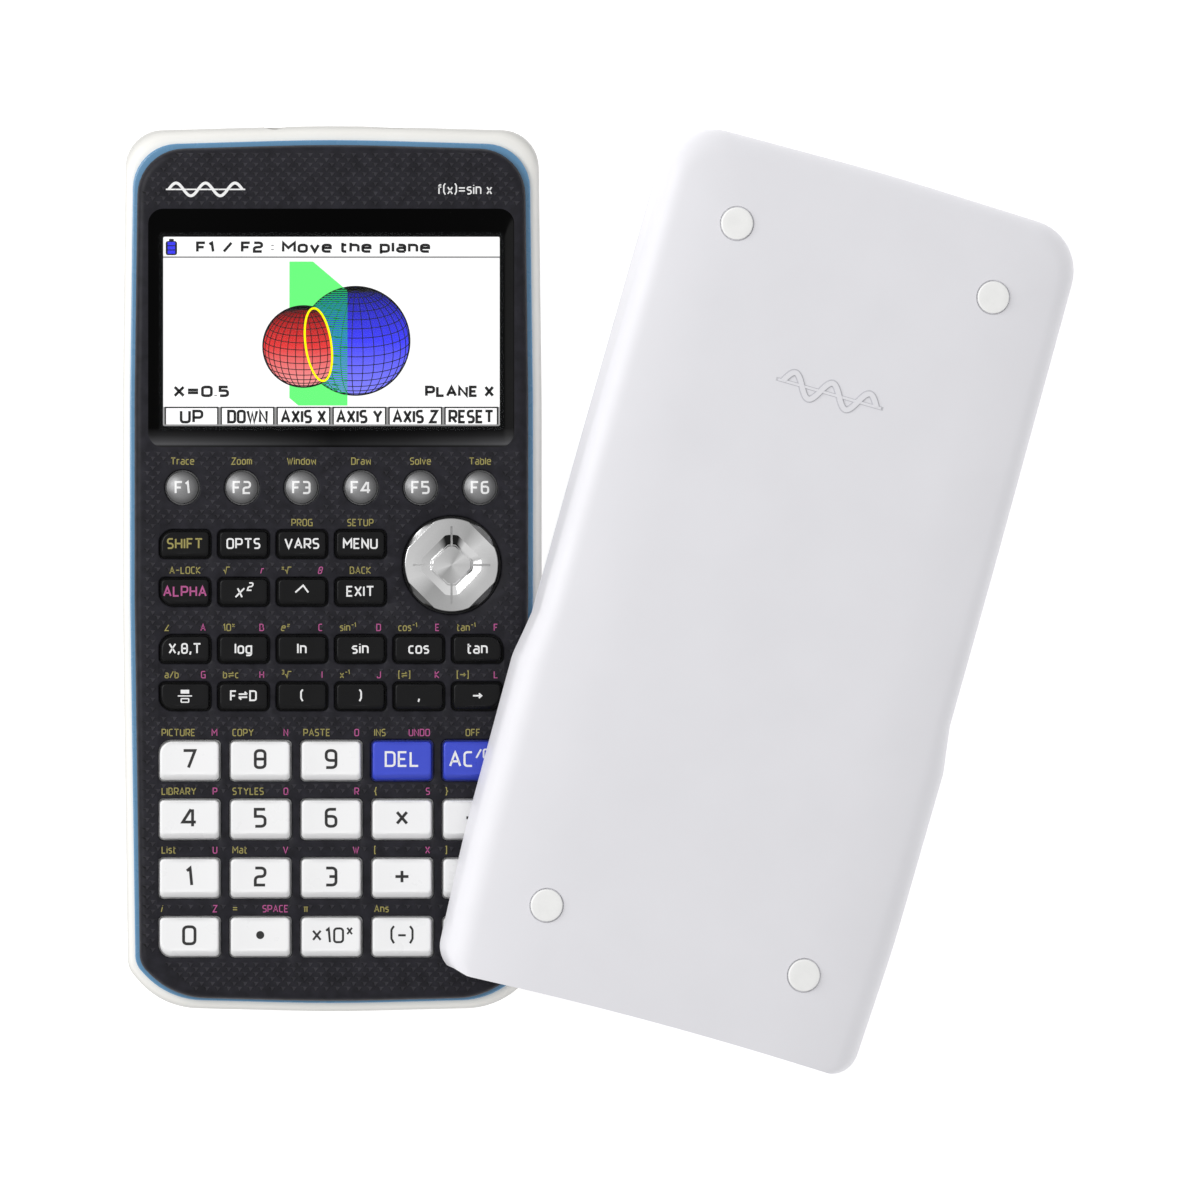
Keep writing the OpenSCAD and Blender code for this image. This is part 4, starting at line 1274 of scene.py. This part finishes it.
def make_cover():
    """Hard slide cover, outer side up: thin shell open at its lower end, lips, raised curve sign."""
    shell = solid(cover_levels(), "cover_shell", [COVER])
    tools = [solid(hollow_levels()), turned((0, -COVER_L / 2 - 898.8), [(900, -5), (900, 30)], 2880)]
    recess = [(3.7, COVER_H - 0.5), (3.7, COVER_H - 0.12), (3.82, COVER_H + 1)]
    tools += [turned(at, recess) for at in foot_places()]
    carve(shell, tools)
    lips = [block(sorted((s * 43.3, s * 45.4)), (-78, 76), (0, 1)) for s in (-1, 1)]
    carve(shell, lips, "UNION")
    bm = bmesh.new()
    # The wide low ribbon in the darker grey is a painted shadow round the raised sign.
    curve_sign(bm, (0.3, 45.4), 21.0, 4.6, 1.55, COVER_H - 0.03, 0.05, 1)
    curve_sign(bm, (0.3, 45.4), 21.0, 4.6, 1.05, COVER_H - 0.03, 0.3)
    sign = finish_mesh("sign", bm, [COVER, COVER_PAINTED_SHADOW])
    crisp(shell, 30)
    piece = move(join_pieces("cover_shell", shell, sign), cover_place())
    return place(piece, "slide_cover", "cover_grey", "slide_cover")


def make_feet():
    """Four soft round feet with rounded rims, let into the cover's recesses."""
    bm = bmesh.new()
    rim = [(3.4 - inset, 0.5 - drop) for inset, drop in reversed(quarter(0.28, 4))]
    for at in foot_places():
        profile = [(3.4, -0.5), (3.4, 0.22)] + rim + [(2.0, 0.47)]
        closed_skin(bm, [(circle(r, at), COVER_H + z) for r, z in profile])
    piece = move(crisp(finish_mesh("cover_pads", bm, [RUBBER]), 40), cover_place())
    return place(piece, "slide_cover", "foot_rubber", "cover_feet")


# ---- inside: the CAD's own shapes, dressed
def dress(node, *materials):
    mesh = frame["nodes"][node].data
    mesh.materials.clear()
    for m in materials:
        mesh.materials.append(m)


def dress_inside():
    """Board in green with dark parts and pale contacts; the rest in one material each."""
    chip = plastic("chip_black", (0.02, 0.02, 0.022), 0.45, 12000, 0.2)
    dress("main_board", board_green(), chip, metal("contact_metal", (0.72, 0.68, 0.58)))
    for p in frame["nodes"]["main_board"].data.polygons:
        sheet = 12.55 < p.center.z / MM < 13.45
        inside_bay = p.center.y / MM < -34
        p.material_index = 0 if sheet else 2 if inside_bay else 1
    dress("key_membrane", SILICONE)
    dress("lcd_module", plastic("panel_frame", (0.55, 0.56, 0.57), 0.35))
    dress("batteries", cell_jacket())
    dress("case_screws", metal("screw_steel", (0.55, 0.55, 0.56), (1, 6, 1)))
    dress("cursor_rocker", plastic("inner_plastic", (0.03, 0.03, 0.032), 0.45))


# ---- floor, light and camera
def make_stage():
    """Pale floor, white world and one large lamp at the left."""
    block((-3000, 3000), (-3000, 3000), (-20, -0.02), "floor", [FLOOR])
    scene = bpy.context.scene
    scene.world = bpy.data.worlds.new("soft_studio")
    scene.world.use_nodes = True
    sky = scene.world.node_tree.nodes["Background"]
    sky.inputs["Color"].default_value = (1.0, 1.0, 1.0, 1)
    sky.inputs["Strength"].default_value = 0.68
    data = bpy.data.lights.new("left", "AREA")
    data.size = 0.6
    data.energy = 4.4
    lamp = bpy.data.objects.new("left", data)
    lamp.location = (-0.55, 0.25, 0.62)
    lamp.rotation_euler = (Vector((0.03, 0, 0)) - lamp.location).to_track_quat("-Z", "Y").to_euler()
    scene.collection.objects.link(lamp)
    scene.view_settings.view_transform = "Standard"


def make_camera():
    data = bpy.data.cameras.new("camera")
    data.lens = 300
    data.sensor_width = 36
    data.clip_start = 0.05
    camera = bpy.data.objects.new("camera", data)
    camera.location = (0.0569, -0.0067, 2.134)
    bpy.context.scene.collection.objects.link(camera)
    bpy.context.scene.camera = camera


make_rear_case()
make_battery_door()
make_trim()
make_face()
make_relief()
make_legends()
make_window()
make_picture()
for key in ALL_KEYS:
    if key in ROUND_KEYS:
        make_round_key(key)
    else:
        make_square_key(key)
make_pad()
make_cover()
make_feet()
dress_inside()
make_stage()
make_camera()
